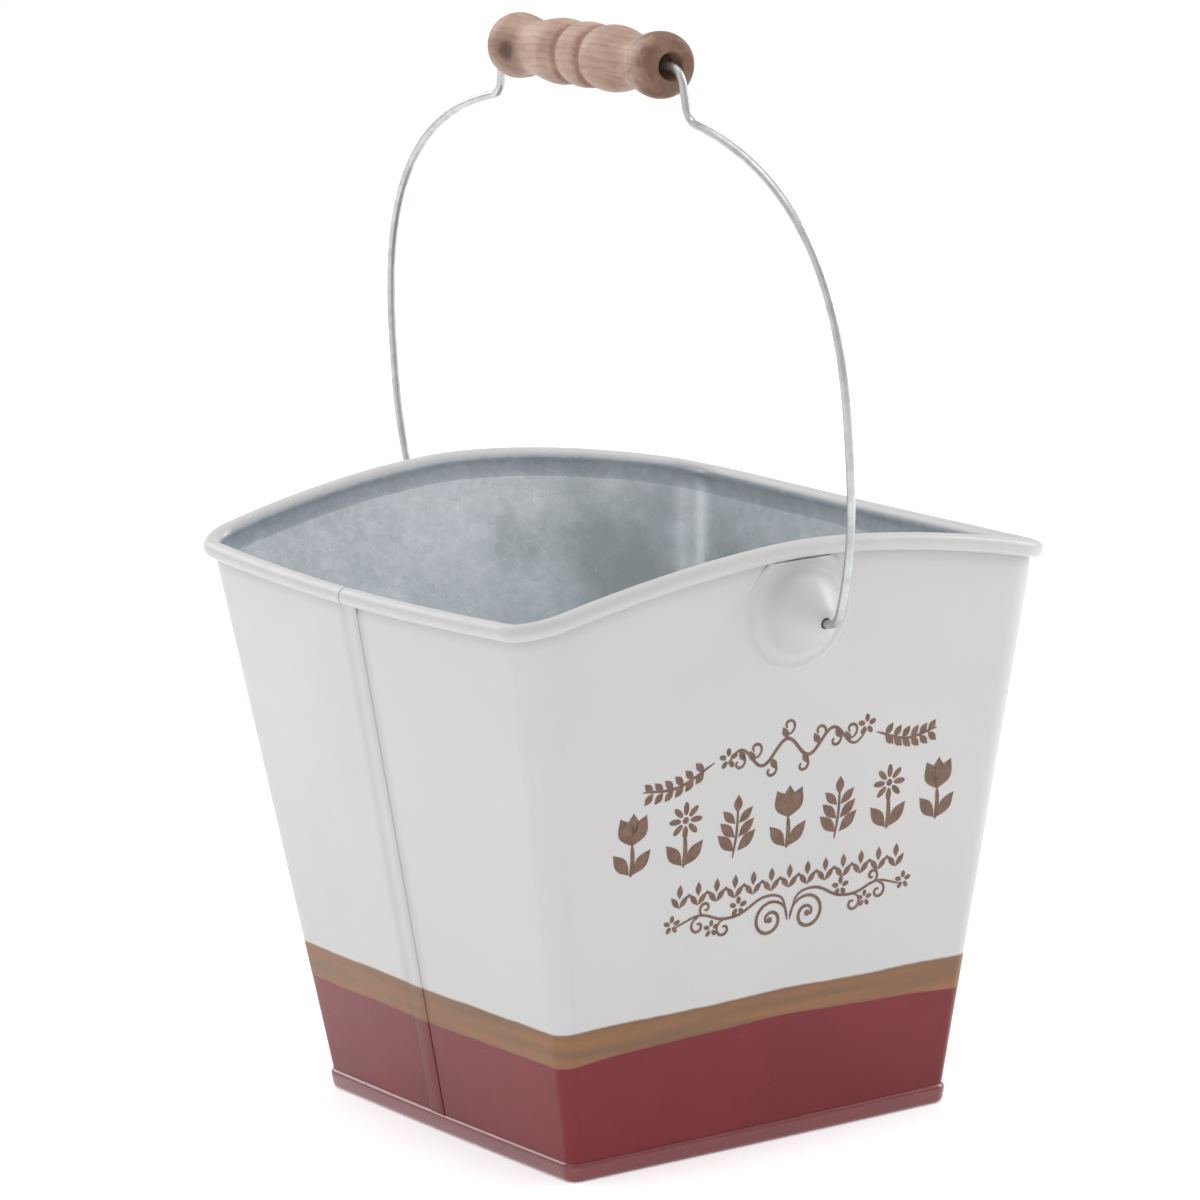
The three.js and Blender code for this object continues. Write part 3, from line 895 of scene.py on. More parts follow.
def vine_height(x):
    """Height of the vine, a wave that climbs a little."""
    swing = 2 * math.pi * (x - VINE_START) / VINE_WAVE
    return VINE_Z + VINE_SWING * math.sin(swing) + VINE_CLIMB * (x - VINE_START)


vine = [lerp(VINE_START, VINE_END, step / VINE_STEPS) for step in range(VINE_STEPS + 1)]
stroke([(x, vine_height(x)) for x in vine], VINE_BOLD)
for count, x in enumerate(vine[2:-1:3]):
    side = 1 if count % 2 else -1
    tendril = vine_height(x) + side * TENDRIL_RISE
    stroke(spiral(x, tendril, TENDRIL_RADIUS, -90 * side, 0.9 * side), FINE)
    lay(leaf, x, vine_height(x), 4.4 * MM, 90 * side + 30, 1.3)
for x in (VINE_START, VINE_END):
    blossom(x, vine_height(x) + 1.5 * MM, VINE_BLOSSOM)
sprig(-27 * MM, 127 * MM, 25 * MM, -5.5 * MM, -1)
sprig(33 * MM, 127.5 * MM, 23 * MM, -2 * MM, 1)
print("with the vine", len(print_shapes), "shapes")

# %% [markdown]
# The border is one small motif repeated: a bud between two leaves, with a dot before the next.
# Each scroll is a large spiral with an arm that runs outwards under three smaller ones.

# %% Border and scrolls
BORDER_Z = 86 * MM
BORDER_START, BORDER_END = -40 * MM, 47 * MM
BORDER_COUNT = 13
SCROLL_MIDDLE = 4 * MM
SCROLL_Z = 73 * MM
SCROLL_EYE = 7 * MM
SCROLL_RADIUS = 6.6 * MM
SCROLL_BOLD = 1.1 * MM
border_pitch = (BORDER_END - BORDER_START) / BORDER_COUNT

for count in range(BORDER_COUNT):
    x = lerp(BORDER_START, BORDER_END, (count + 0.5) / BORDER_COUNT)
    for side in (-1, 1):
        lay(leaf, x, BORDER_Z - 3.6 * MM, 5 * MM, 90 - 38 * side, 0.95)
    lay(leaf, x, BORDER_Z - 0.6 * MM, 4.6 * MM, 90, 1.1)
    if count < BORDER_COUNT - 1:
        dot(x + border_pitch / 2, BORDER_Z, 0.6 * MM)

for side in (-1, 1):

    def across(points, side=side):
        """Mirrors points drawn for the right half about the scrolls' middle."""
        return [(SCROLL_MIDDLE + side * x, SCROLL_Z + z) for x, z in points]

    stroke(across(spiral(SCROLL_EYE, 0, SCROLL_RADIUS, 180, -1.6)), SCROLL_BOLD)
    arm = [(0.4, -1), (3, 6.6), (10, 7.8), (18, 4), (25, 3.5), (33, 6), (42, 3.5)]
    stroke(across([(x * MM, z * MM) for x, z in arm]), FINE)
    stroke(across(spiral(24 * MM, 0.2 * MM, 3 * MM, 90, -1.1)), FINE)
    stroke(across(spiral(31 * MM, 8 * MM, 2.4 * MM, -90, 1.1)), FINE)
    stroke(across(spiral(33.5 * MM, 2.6 * MM, 2.8 * MM, 90, -1.1)), FINE)
    for x, z, size in ((19, 6.5, 3.2), (28.5, 1, 2.8), (43, 4.5, 3)):
        blossom(SCROLL_MIDDLE + side * x * MM, SCROLL_Z + z * MM, size * MM)
    dot(SCROLL_MIDDLE + side * SCROLL_EYE, SCROLL_Z, MM)
print("in all", len(print_shapes), "shapes")

# %% [markdown]
# The shapes are joined and pressed onto the wall: each vertex is sent along +Y until it meets the
# wall, and stands off from it by less than a tenth of a millimetre. Shapes that cross each other
# would fight for the same height, so each lies a hair above the one before. Solidify gives the
# film its thickness.

# %% Press the print on the wall
FILM = 0.03 * MM
LIFT_LOW, LIFT_HIGH = 0.05 * MM, 0.1 * MM

for count, shape in enumerate(print_shapes):
    lift = lerp(LIFT_LOW, LIFT_HIGH, count / len(print_shapes))
    for vertex in shape.data.vertices:
        x, z, _ = vertex.co
        _, place, normal, _ = wall.ray_cast((x, -4 * MOUTH_HALF, z), (0, 1, 0))
        vertex.co = place + normal * lift
fresh()
for shape in print_shapes:
    shape.select_set(True)
bpy.context.view_layer.objects.active = print_shapes[0]
bpy.ops.object.join()
ornament = keep_as("printed_ornament")
bpy.ops.object.mode_set(mode="EDIT")
bpy.ops.mesh.select_all(action="SELECT")
bpy.ops.mesh.normals_make_consistent(inside=False)
bpy.ops.object.mode_set(mode="OBJECT")
backward = sum(face.normal.y * face.area for face in ornament.data.polygons) > 0
apply_modifier(ornament, "SOLIDIFY", thickness=FILM, offset=-1 if backward else 1)
for template in (leaf, petal):
    bpy.data.objects.remove(template)
report(ornament)

# %% [markdown]
# ## Node materials
# Every finish is a node material round one Principled shader. These helpers keep the cells short:
# node() adds a node and sets or links its inputs, and the others are the few nodes that nearly
# every finish needs. All patterns read Object coordinates. The pieces sit at the origin, so these
# are metres in the model's own frame, and grain() is given the size of its spots in metres.

# %% Helpers for materials
def finish(name, **sockets):
    """A material whose Principled shader has these plain numbers and colours set."""
    material = bpy.data.materials.new(name)
    material.use_nodes = True
    shader = material.node_tree.nodes["Principled BSDF"]
    for key, value in sockets.items():
        shader.inputs[key.replace("_", " ")].default_value = value
    return material, shader


def node(material, kind, inputs, output=0, **settings):
    """Adds a node; inputs maps a socket's name or number to a value or another node's output."""
    made = material.node_tree.nodes.new("ShaderNode" + kind)
    for key, value in settings.items():
        setattr(made, key, value)
    for key, value in inputs.items():
        if isinstance(value, bpy.types.NodeSocket):
            material.node_tree.links.new(value, made.inputs[key])
        else:
            made.inputs[key].default_value = value
    return made.outputs[output]


def where(material, stretch=(1, 1, 1), turn=(0, 0, 0)):
    """Object coordinates in metres, through a Mapping node."""
    place = node(material, "TexCoord", {}, "Object")
    return node(material, "Mapping", {"Vector": place, "Rotation": turn, "Scale": stretch})


def along_axis(material, axis):
    """One of the Object coordinates: X, Y or Z."""
    return node(material, "SeparateXYZ", {0: where(material)}, axis)


def distance_to(material, point):
    """Distance from a point of the model."""
    ends = {0: where(material), 1: tuple(point)}
    return node(material, "VectorMath", ends, "Value", operation="DISTANCE")


def grain(material, spot, stretch=(1, 1, 1), detail=3.0, roughness=0.55, distortion=0.0):
    """Cloudy noise whose spots are about this large."""
    inputs = {
        "Vector": where(material, stretch),
        "Scale": 1 / spot,
        "Detail": detail,
        "Roughness": roughness,
        "Distortion": distortion,
    }
    return node(material, "TexNoise", inputs, "Fac")


def calculate(material, operation, *values, clamp=False):
    """One Math node."""
    inputs = dict(enumerate(values))
    return node(material, "Math", inputs, operation=operation, use_clamp=clamp)


def spread(material, value, low, high, to_low=0.0, to_high=1.0):
    """Maps low..high to another range and clamps it."""
    inputs = {"Value": value, 1: low, 2: high, 3: to_low, 4: to_high}
    return node(material, "MapRange", inputs)


def blend(material, share, a, b, kind="MIX"):
    """Mixes two colours."""
    inputs = {0: share, 6: a, 7: b}
    settings = {"data_type": "RGBA", "blend_type": kind}
    return node(material, "Mix", inputs, 2, **settings)


def bump(material, shader, height, depth, strength=1.0):
    """Links a bump of this depth, in metres, to the shader."""
    inputs = {"Height": height, "Distance": depth, "Strength": strength}
    material.node_tree.links.new(node(material, "Bump", inputs), shader.inputs["Normal"])


def link(material, value, shader, socket):
    """Links a pattern to one of the shader's sockets."""
    material.node_tree.links.new(value, shader.inputs[socket])


def coat(piece, *materials):
    """Puts these materials in the piece's slots; emptying the list would reset its faces' slots."""
    for place, material in enumerate(materials):
        if place < len(piece.data.materials):
            piece.data.materials[place] = material
        else:
            piece.data.materials.append(material)


print("material helpers are ready")

# %% [markdown]
# ## The painted outside
# The wall is sprayed white and has two bands at its foot, a streaky copper one over a glossy red
# one. They are brushed on by hand: their edges wander a little and climb towards the middle of
# the front, and the copper shows the brush's streaks. So the height decides the colour. The edge
# heights are z plus a bow and two sizes of noise, and streaks are noise stretched far sideways.
# The seam has the same paint, bands and all, darkened along both edges by painted shade. The seam
# drifts sideways as it climbs, so the place across it is y less its middle at that height.

# %% Paint of the bands
WHITE = (0.565, 0.555, 0.55, 1)
WHITE_COOL = (0.54, 0.54, 0.54, 1)
COPPER_LIGHT = (0.26, 0.12, 0.052, 1)
COPPER_DARK = (0.17, 0.095, 0.052, 1)
RED = (0.178, 0.011, 0.017, 1)
RED_DEEP = (0.145, 0.008, 0.013, 1)
RED_EDGE = 37.8 * MM
COPPER_EDGE = 48.6 * MM
EDGE_BOW = 3 * MM
COPPER_BOW = 0.3 * EDGE_BOW
EDGE_WANDER = 2.2 * MM
EDGE_BRISTLE = 0.5 * MM
EDGE_SOFT = 0.35 * MM
# Grey of the painted shade along the seam's edges.
SEAM_SHADE_GREY = (0.25, 0.245, 0.24, 1)
SEAM_SHADE_REACH = 4.6 * MM
SEAM_SHADE_SHARE = 0.2
COPPER_GLOSS, RED_GLOSS = 0.04, 0.14
PEEL_DEPTH = 0.012 * MM


def band_edge(material, height, bow, bristle):
    """1 under a hand-painted edge at this height and 0 over it."""
    x, z = along_axis(material, "X"), along_axis(material, "Z")
    across = calculate(material, "DIVIDE", x, BASE_HALF)
    bowed = calculate(material, "MULTIPLY_ADD", calculate(material, "POWER", across, 2), -bow, bow)
    wander = grain(material, 45 * MM, (1, 1, 0.1), 1.0)
    hairs = grain(material, 5 * MM, (1, 1, 0.1), 3.0)
    edge = calculate(material, "ADD", bowed, height - (EDGE_WANDER + bristle) / 2)
    edge = calculate(material, "MULTIPLY_ADD", wander, EDGE_WANDER, edge)
    edge = calculate(material, "MULTIPLY_ADD", hairs, bristle, edge)
    under = calculate(material, "SUBTRACT", edge, z)
    return spread(material, under, -EDGE_SOFT, EDGE_SOFT)


def seam_shade(material):
    """Share of painted shade: a soft line along each edge of the seam, on the -X wall only."""
    x, y, z = (along_axis(material, axis) for axis in "XYZ")
    across = calculate(material, "MULTIPLY_ADD", z, -seam_line.y / seam_line.z, y)
    across = calculate(material, "SUBTRACT", across, SEAM_SHIFT_FOOT)
    away = calculate(material, "SUBTRACT", calculate(material, "ABSOLUTE", across), SEAM_WIDTH / 2)
    away = calculate(material, "ABSOLUTE", away)
    near = spread(material, away, 0, SEAM_SHADE_REACH, SEAM_SHADE_SHARE, 0)
    on_wall = calculate(material, "LESS_THAN", x, -BASE_HALF / 2)
    return calculate(material, "MULTIPLY", near, on_wall)


def bucket_paint():
    """White over copper over red, with painted shade along the seam."""
    material, shader = finish("bucket_paint", IOR=1.5, Specular_IOR_Level=0.35)
    clouds = spread(material, grain(material, 60 * MM, detail=2.0), 0.35, 0.65)
    white = blend(material, clouds, WHITE, WHITE_COOL)
    streaks = grain(material, 60 * MM, (1, 1, 18), 3.0, 0.5)
    copper = blend(material, spread(material, streaks, 0.3, 0.7), COPPER_DARK, COPPER_LIGHT)
    pools = spread(material, grain(material, 30 * MM, detail=3.0), 0.3, 0.7)
    red = blend(material, pools, RED, RED_DEEP)
    in_copper = band_edge(material, COPPER_EDGE, COPPER_BOW, EDGE_BRISTLE)
    in_red = band_edge(material, RED_EDGE, EDGE_BOW, EDGE_BRISTLE / 2)
    colour = blend(material, in_copper, white, copper)
    colour = blend(material, in_red, colour, red)
    # Painted shade: the paint is darkened along both edges of the seam.
    colour = blend(material, seam_shade(material), colour, SEAM_SHADE_GREY, "MULTIPLY")
    link(material, colour, shader, "Base Color")
    smear = grain(material, 12 * MM, detail=4.0)
    rough = spread(material, smear, 0.3, 0.7, 0.36, 0.46)
    rough = calculate(material, "MULTIPLY_ADD", in_copper, -COPPER_GLOSS, rough)
    rough = calculate(material, "MULTIPLY_ADD", in_red, -RED_GLOSS, rough)
    link(material, rough, shader, "Roughness")
    peel = grain(material, 1.6 * MM, detail=2.0)
    ripple = grain(material, 22 * MM, detail=1.0)
    brushed = calculate(material, "MULTIPLY", streaks, in_copper)
    height = calculate(material, "MULTIPLY_ADD", ripple, 6.0, peel)
    height = calculate(material, "MULTIPLY_ADD", brushed, 1.5, height)
    bump(material, shader, height, PEEL_DEPTH)
    return material


painted = bucket_paint()
print(painted.name, "has", len(painted.node_tree.nodes), "nodes")

# %% [markdown]
# The bead and the ears carry nearly the same white, a little darker than the wall's as painted
# shade. It is rubbed thin here and there on such small round parts, where the grey steel shows
# through in faint patches. A worn look like that is noise, cut off by a Map Range. The hem has
# the red of the lower band with a clear gloss over it.

# %% White of the bead and ears, red of the hem
STEEL_GREY = (0.42, 0.43, 0.435, 1)
# Darker than the wall's white, as painted shade on the bead and ears.
WHITE_SHADED = (0.545, 0.535, 0.53, 1)
WHITE_SHADED_COOL = (0.515, 0.515, 0.515, 1)
RUBBED_SHARE = 0.14
CHIPPED_SHARE = 0.15


def white_paint():
    """The white of the small parts, darker as painted shade, rubbed here and there."""
    material, shader = finish("white_paint", IOR=1.5, Specular_IOR_Level=0.4)
    clouds = spread(material, grain(material, 25 * MM, detail=2.0), 0.35, 0.65)
    white = blend(material, clouds, WHITE_SHADED, WHITE_SHADED_COOL)
    rubbed = spread(material, grain(material, 4 * MM, detail=5.0, roughness=0.6), 0.5, 0.75)
    rubbed = calculate(material, "MULTIPLY", rubbed, RUBBED_SHARE)
    link(material, blend(material, rubbed, white, STEEL_GREY), shader, "Base Color")
    rough = spread(material, grain(material, 6 * MM, detail=3.0), 0.3, 0.7, 0.33, 0.42)
    link(material, rough, shader, "Roughness")
    bump(material, shader, grain(material, 9 * MM, detail=1.0), 0.02 * MM)
    return material


def red_paint():
    """The glossy red of the hem, a little thin along its edges."""
    material, shader = finish("red_paint", IOR=1.5, Coat_Weight=0.8, Coat_Roughness=0.2)
    pools = spread(material, grain(material, 18 * MM, detail=3.0), 0.3, 0.7)
    red = blend(material, pools, RED, RED_DEEP)
    chips = spread(material, grain(material, 2.5 * MM, detail=5.0, roughness=0.6), 0.68, 0.74)
    chips = calculate(material, "MULTIPLY", chips, CHIPPED_SHARE)
    link(material, blend(material, chips, red, COPPER_DARK), shader, "Base Color")
    rough = spread(material, grain(material, 5 * MM, detail=3.0), 0.3, 0.7, 0.22, 0.3)
    link(material, rough, shader, "Roughness")
    bump(material, shader, grain(material, 9 * MM, detail=1.0), 0.03 * MM)
    return material


shaded_white = white_paint()
hem_red = red_paint()
print("white and red are mixed")

# %% [markdown]
# ## Bare zinc inside
# Hot zinc freezes into crystals that catch the light differently, so galvanised sheet looks like
# pale blue-grey flakes a few millimetres wide. A Voronoi texture has such cells, and each cell's
# random colour drives the grey, the roughness and the bump. Larger clouds of a dull whitish bloom
# lie over it, and a dark greenish patch lies near the corner at the right rear. The neck has the
# same finish between two darker greys, as painted shade under the bead.

# %% Zinc
ZINC_LIGHT = (0.78, 0.81, 0.84, 1)
ZINC_DARK = (0.49, 0.54, 0.56, 1)
NECK_SHADED_LIGHT = (0.62, 0.65, 0.69, 1)
NECK_SHADED_DARK = (0.4, 0.445, 0.475, 1)
ZINC_BLOOM = (0.74, 0.75, 0.76, 1)
ZINC_PATCH = (0.26, 0.3, 0.28, 1)
DARK_PATCH = Vector((66 * MM, 92 * MM, 135 * MM))
PATCH_REACH, PATCH_HEART = 75 * MM, 30 * MM
PATCH_RAGGED = 45 * MM
FLAKE = 2.6 * MM
FLAKE_EDGE = 2.4 * MM
FINE_SHARE, FLAKE_SHARE, BLOT_SHARE, CLOUD_SHARE = 0.34, 0.2, 0.28, 0.34


def zinc(name, light, dark):
    """Galvanised sheet with its flakes, between two greys."""
    material, shader = finish(name, Metallic=0.6, IOR=1.6)
    ragged = {"Vector": where(material), "Scale": 1 / (2 * MM), "Detail": 3.0}
    ragged = node(material, "TexNoise", ragged, "Color")
    crumpled = {0: ragged, 1: (FLAKE_EDGE,) * 3, 2: where(material)}
    crumpled = node(material, "VectorMath", crumpled, operation="MULTIPLY_ADD")
    cells = {"Vector": crumpled, "Scale": 1 / FLAKE}
    flakes = node(material, "TexVoronoi", cells, "Color", feature="F1")
    flake = node(material, "SeparateXYZ", {0: flakes}, "X")
    fine = grain(material, 1.2 * MM, detail=4.0, roughness=0.7)
    clouds = spread(material, grain(material, 28 * MM, detail=5.0, roughness=0.6), 0.32, 0.68)
    blots = spread(material, grain(material, 5 * MM, detail=4.0, roughness=0.65), 0.3, 0.7)
    shade = calculate(material, "MULTIPLY", fine, FINE_SHARE)
    shade = calculate(material, "MULTIPLY_ADD", flake, FLAKE_SHARE, shade)
    shade = calculate(material, "MULTIPLY_ADD", blots, BLOT_SHARE, shade)
    shade = calculate(material, "MULTIPLY_ADD", clouds, CLOUD_SHARE, shade, clamp=True)
    grey = blend(material, shade, dark, light)
    # A darker greenish patch round a point near the corner at the right rear.
    away = distance_to(material, DARK_PATCH)
    away = calculate(material, "MULTIPLY_ADD", clouds, PATCH_RAGGED, away)
    in_patch = spread(material, away, PATCH_REACH, PATCH_HEART, 0, 0.5)
    grey = blend(material, in_patch, grey, ZINC_PATCH)
    specks = spread(material, grain(material, 2.2 * MM, detail=5.0), 0.62, 0.72, 0.0, 0.35)
    link(material, blend(material, specks, grey, ZINC_BLOOM), shader, "Base Color")
    rough = spread(material, shade, 0.2, 0.9, 0.28, 0.42)
    link(material, rough, shader, "Roughness")
    height = calculate(material, "MULTIPLY_ADD", fine, 0.5, flake)
    bump(material, shader, height, 0.05 * MM)
    return material


bare_zinc = zinc("galvanised_sheet", ZINC_LIGHT, ZINC_DARK)
# The neck's copy is darker, as painted shade under the bead.
shaded_neck_zinc = zinc("galvanised_neck_shaded", NECK_SHADED_LIGHT, NECK_SHADED_DARK)
print(bare_zinc.name, "has", len(bare_zinc.node_tree.nodes), "nodes")

# %% [markdown]
# ## Galvanised wire
# Drawn wire has fine scratches round and along it and a satin zinc skin with dull spots. The
# wire bends all the way round the bail, so the noise isn't stretched in any one direction.

# %% Wire
WIRE_LIGHT = (0.57, 0.58, 0.57, 1)
WIRE_DARK = (0.4, 0.415, 0.41, 1)


def wire():
    """Satin zinc-plated wire."""
    material, shader = finish("galvanised_wire", Metallic=0.85, IOR=1.6)
    mottle = grain(material, 5 * MM, detail=5.0, roughness=0.65)
    scratch = grain(material, 0.5 * MM, detail=3.0, roughness=0.7)
    shade = calculate(material, "MULTIPLY_ADD", scratch, 0.3, mottle)
    shade = spread(material, shade, 0.45, 0.85)
    link(material, blend(material, shade, WIRE_DARK, WIRE_LIGHT), shader, "Base Color")
    link(material, spread(material, mottle, 0.3, 0.7, 0.42, 0.28), shader, "Roughness")
    bump(material, shader, scratch, 0.02 * MM)
    return material


bail_finish = wire()
print(bail_finish.name, "is ready")

# %% [markdown]
# ## Turned wood
# The grip is turned from a pale limb wood, and its axis is the grain's direction. Wood shows
# growth rings as long streaks when it is cut along the grain, and the same rings as arcs on the
# end faces. Both come from one pattern: rings round a heart that lies far to one side of the
# grip, bent by noise stretched along the axis. Fine dark pores are drawn out further still. The
# lathe's tool leaves fine marks round the axis, the end faces drink more oil and turn darker, the
# front ball is patchy and dark from the hand, and a knot sits in the rear ball.

# %% Wood
WOOD_LIGHT = (0.5, 0.34, 0.265, 1)
WOOD_DARK = (0.29, 0.165, 0.115, 1)
WOOD_PORE = (0.15, 0.085, 0.06, 1)
WOOD_STAIN = (0.165, 0.085, 0.052, 1)
KNOT_BROWN = (0.06, 0.027, 0.017, 1)
RING_WIDTH = 2.2 * MM
RING_SWAY = 7 * MM
HEART_OFFSET = (28 * MM, 0, -300 * MM)
KNOT = grip_centre + Vector((-9.6 * MM, 0.74 * grip_half, -0.5 * MM))
KNOT_HALO, KNOT_HEART = 11 * MM, 3.8 * MM
LATHE_MARK = 1.3 * MM
# Reach of the painted shade in the grooves.
GROOVE_SHADE_REACH = 2.2 * MM
END_GRAIN = 4 * MM
DARK_BALL = 12 * MM


def turned_wood():
    """Pale wood with its grain along Y."""
    material, shader = finish("turned_wood", IOR=1.45)
    sway = grain(material, 24 * MM, (1, 0.25, 1), 3.0)
    heart = where(material, (1, 0.12, 1))
    offset = node(material, "VectorMath", {0: heart, 1: HEART_OFFSET}, operation="ADD")
    reach = node(material, "VectorMath", {0: offset}, "Value", operation="LENGTH")
    rings = calculate(material, "MULTIPLY_ADD", sway, RING_SWAY, reach)
    rings = calculate(material, "DIVIDE", rings, RING_WIDTH)
    rings = calculate(material, "FRACT", rings)
    late = spread(material, rings, 0.35, 0.95)
    late = calculate(material, "MULTIPLY", late, spread(material, rings, 1.0, 0.93))
    pores = grain(material, 1.1 * MM, (1, 0.06, 1), 4.0, 0.7)
    pores = spread(material, pores, 0.56, 0.68)
    tone = spread(material, grain(material, 14 * MM, (1, 0.8, 1)), 0.36, 0.66, 0, 0.7)
    marks = grain(material, LATHE_MARK, (0.05, 1, 0.05), 2.0)
    tone = calculate(material, "MULTIPLY_ADD", marks, 0.22, tone)
    y = along_axis(material, "Y")
    to_end = calculate(material, "ABSOLUTE", y)
    end = spread(material, to_end, grip_half - END_GRAIN, grip_half - END_GRAIN / 4, 0, 0.9)
    tone = calculate(material, "ADD", tone, end)
    # Painted shade: the tone darkens in and beside the grooves.
    to_groove = calculate(material, "ABSOLUTE", calculate(material, "SUBTRACT", to_end, GROOVE_AT))
    groove_shade = spread(material, to_groove, GROOVE_SHADE_REACH / 5, GROOVE_SHADE_REACH, 0.7, 0)
    tone = calculate(material, "ADD", tone, groove_shade)
    shade = calculate(material, "MULTIPLY_ADD", late, 0.24, tone, clamp=True)
    colour = blend(material, shade, WOOD_LIGHT, WOOD_DARK)
    colour = blend(material, calculate(material, "MULTIPLY", pores, 0.4), colour, WOOD_PORE)
    patches = spread(material, grain(material, 6 * MM, detail=3.0), 0.42, 0.56, 0.5, 1)
    ball = spread(material, y, DARK_BALL - grip_half, DARK_BALL / 2 - grip_half)
    ball = calculate(material, "MULTIPLY", ball, patches)
    colour = blend(material, ball, colour, WOOD_STAIN)
    away = distance_to(material, KNOT)
    ragged = calculate(material, "MULTIPLY_ADD", grain(material, 3 * MM), 2 * MM, away)
    halo = spread(material, ragged, KNOT_HALO, KNOT_HEART, 0, 0.75)
    heart_of_knot = spread(material, ragged, KNOT_HEART + MM, KNOT_HEART - MM, 0, 0.8)
    colour = blend(material, halo, colour, WOOD_STAIN)
    colour = blend(material, heart_of_knot, colour, KNOT_BROWN)
    link(material, colour, shader, "Base Color")
    rough = calculate(material, "MULTIPLY_ADD", pores, 0.15, 0.48)
    link(material, rough, shader, "Roughness")
    height = calculate(material, "MULTIPLY_ADD", pores, -1.0, late)
    height = calculate(material, "MULTIPLY_ADD", marks, 1.5, height)
    bump(material, shader, height, 0.05 * MM)
    return material


grip_wood = turned_wood()
print(grip_wood.name, "has", len(grip_wood.node_tree.nodes), "nodes")

# %% [markdown]
# ## Ink
# The print is a dark brown ink, a little uneven where the transfer took it less well.

# %% Ink
INK = (0.125, 0.062, 0.036, 1)
INK_THIN = (0.21, 0.125, 0.085, 1)


def ink():
    """Brown transfer ink."""
    material, shader = finish("brown_ink", IOR=1.48)
    thin = spread(material, grain(material, 2.5 * MM, detail=5.0, roughness=0.7), 0.42, 0.72)
    link(material, blend(material, thin, INK, INK_THIN), shader, "Base Color")
    link(material, spread(material, thin, 0, 1, 0.42, 0.55), shader, "Roughness")
    bump(material, shader, thin, 0.01 * MM)
    return material


brown_ink = ink()
print(brown_ink.name, "is ready")

# %% [markdown]
# ## Dress the pieces and hang them on the frame
# Each piece gets its materials, rides on the body that carries it, and takes the place of its CAD
# node. The wire inside the bead keeps its CAD shape, as a round wire is all it is, and only gets
# the wire's finish.

# %% Dress and ride
coat(wall, painted, bare_zinc, shaded_white, painted, shaded_neck_zinc)
coat(seam, painted)
coat(pan, hem_red, bare_zinc)
for piece in (ear, rear_ear):
    coat(piece, shaded_white)
coat(bail, bail_finish)
coat(grip, grip_wood)
coat(ornament, brown_ink)
rim_wire = frame["nodes"]["rim_wire"]
rim_wire.material_slots[0].material = bail_finish

for piece in (wall, seam, pan, ear, rear_ear, ornament):
    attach(piece, "bucket")
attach(bail, "bail")
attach(grip, "grip")
for piece, cad_node, slot_name in (
    (wall, "wall_sheet", "white_paint"),
    (pan, "bottom_pan", "red_paint"),
    (ear, "front_ear", "white_paint"),
    (rear_ear, "rear_ear", "white_paint"),
    (bail, "bail_wire", "galvanised_steel"),
    (grip, "grip", "turned_wood"),
):
    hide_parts(cad_node)

# %% [markdown]
# ## Studio
# The bucket stands on a plain pale floor that is brighter than the light grey of the paint, with
# soft light from large panels: a weak one at the left, a stronger one at the right, one overhead
# for the inside and one behind that glints along the hem. A bright even world fills the shadows.
# The floor glows a little, like a table that is lit from below, so that it stays nearly white
# without more light on the bucket.

# %% Floor and light
FLOOR_SIZE = 12
FLOOR_CELLS = 24
FLOOR_GLOW = 0.33
FLOOR_SHADES = (0.93, 0.93, 0.93, 1), (0.95, 0.95, 0.95, 1)
WORLD_LIGHT = 0.7
WHITE_LIGHT = (1, 1, 1, 1)

fresh()
bpy.ops.mesh.primitive_grid_add(
    x_subdivisions=FLOOR_CELLS, y_subdivisions=FLOOR_CELLS, size=FLOOR_SIZE
)
floor = keep_as("studio_floor")
floor_paint, shader = finish(
    "studio_floor", Roughness=0.9, Specular_IOR_Level=0.1, Emission_Strength=FLOOR_GLOW
)
shader.inputs["Emission Color"].default_value = WHITE_LIGHT
mottled = grain(floor_paint, 400 * MM, detail=2.0)
link(floor_paint, blend(floor_paint, mottled, *FLOOR_SHADES), shader, "Base Color")
coat(floor, floor_paint)

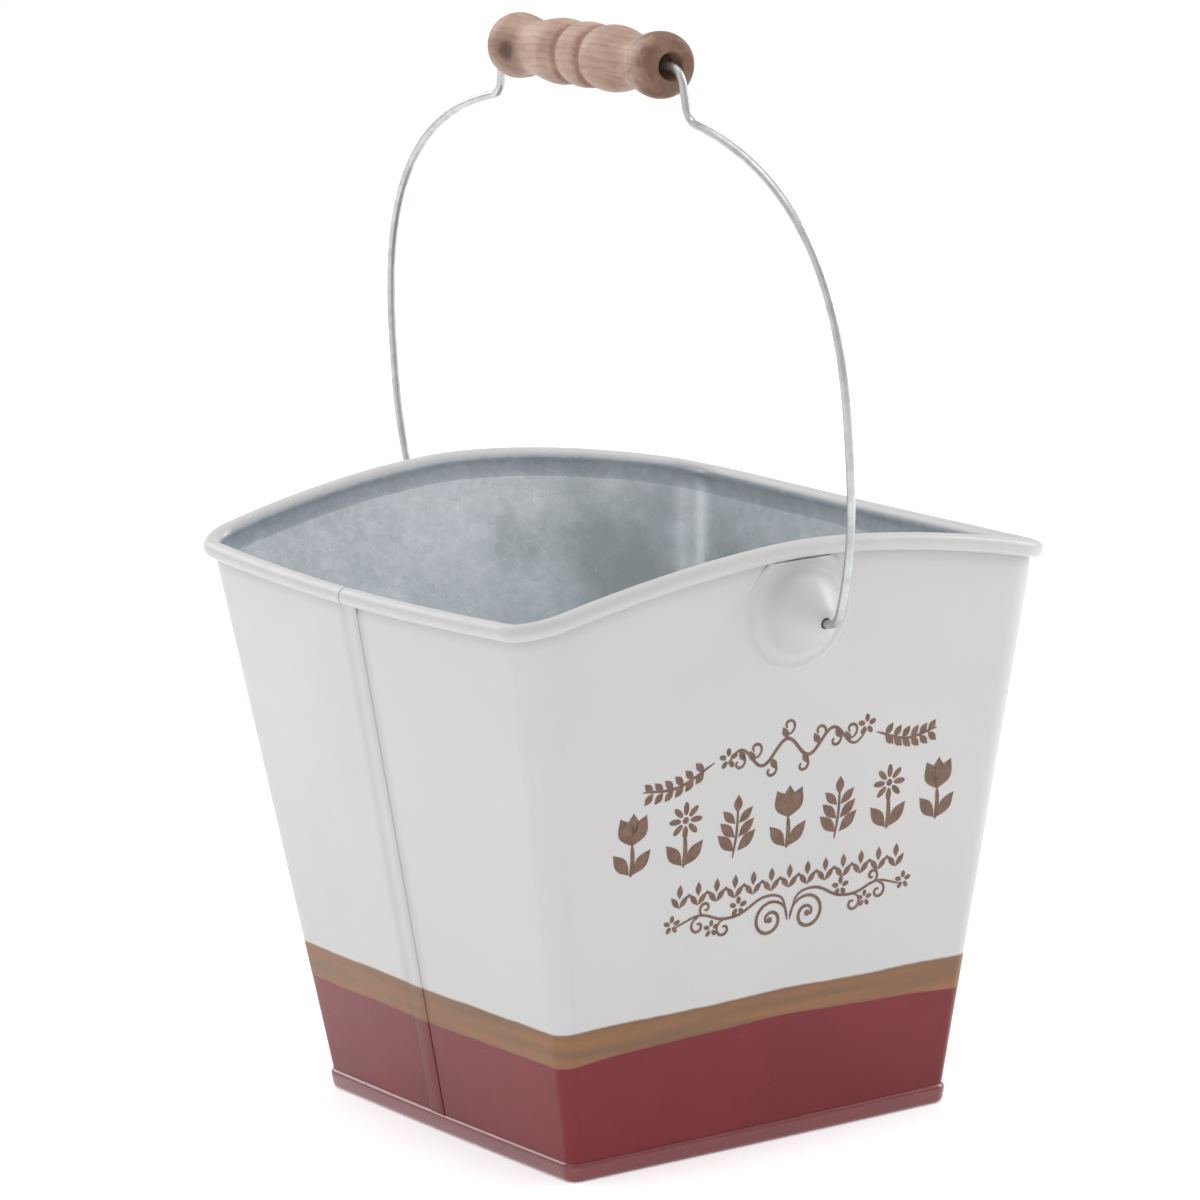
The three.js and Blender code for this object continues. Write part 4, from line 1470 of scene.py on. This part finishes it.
world = bpy.data.worlds.new("studio")
world.use_nodes = True
sky = world.node_tree.nodes["Background"]
sky.inputs["Color"].default_value = WHITE_LIGHT
sky.inputs["Strength"].default_value = WORLD_LIGHT
bpy.context.scene.world = world


def panel(name, place, aim, width, height, watts):
    """A soft light panel that faces a point."""
    light = bpy.data.lights.new(name, "AREA")
    light.shape = "RECTANGLE"
    light.size, light.size_y, light.energy = width, height, watts
    lamp = bpy.data.objects.new(name, light)
    bpy.context.collection.objects.link(lamp)
    lamp.location = place
    lamp.rotation_euler = (Vector(aim) - Vector(place)).to_track_quat("-Z", "Y").to_euler()


middle = (0, 0, BAIL_RISE)
panel("left_panel", (-1.6, -0.3, 0.8), middle, 0.9, 1.2, 2)
panel("right_panel", (1.5, -0.35, 0.9), middle, 0.7, 1.0, 12)
panel("top_panel", (0, 0.2, 1.7), middle, 1.4, 1.4, 9)
panel("back_panel", (-0.45, 1.7, 1.15), middle, 1.2, 1.1, 11)
print("studio is lit")

# %% [markdown]
# ## Camera
# The camera looks a little down on the front left corner from about two metres, with a long lens,
# so that the bucket's edges stay nearly parallel. It is tilted by less than two degrees about its
# own axis. Its place is worked out from the direction and distance to the aim.

# %% Camera
AZIMUTH = math.radians(-33.3)
ELEVATION = math.radians(11.54)
ROLL = math.radians(-1.805)
DISTANCE = 1.9049
AIM = Vector((-0.02515, -0.02695, 0.1669))
LENS, SENSOR = 187.2, 36

back = Vector(
    (
        math.sin(AZIMUTH) * math.cos(ELEVATION),
        -math.cos(AZIMUTH) * math.cos(ELEVATION),
        math.sin(ELEVATION),
    )
)
right = Vector((math.cos(AZIMUTH), math.sin(AZIMUTH), 0))
turn = Matrix((right, back.cross(right), back)).transposed() @ Matrix.Rotation(ROLL, 3, "Z")
camera = bpy.data.objects.new("camera", bpy.data.cameras.new("camera"))
bpy.context.collection.objects.link(camera)
camera.matrix_world = Matrix.Translation(AIM + back * DISTANCE) @ turn.to_4x4()
camera.data.lens = LENS
camera.data.sensor_width = SENSOR
bpy.context.scene.camera = camera
bpy.context.scene.view_settings.view_transform = "Standard"
print("camera at", [round(c, 3) for c in camera.location])
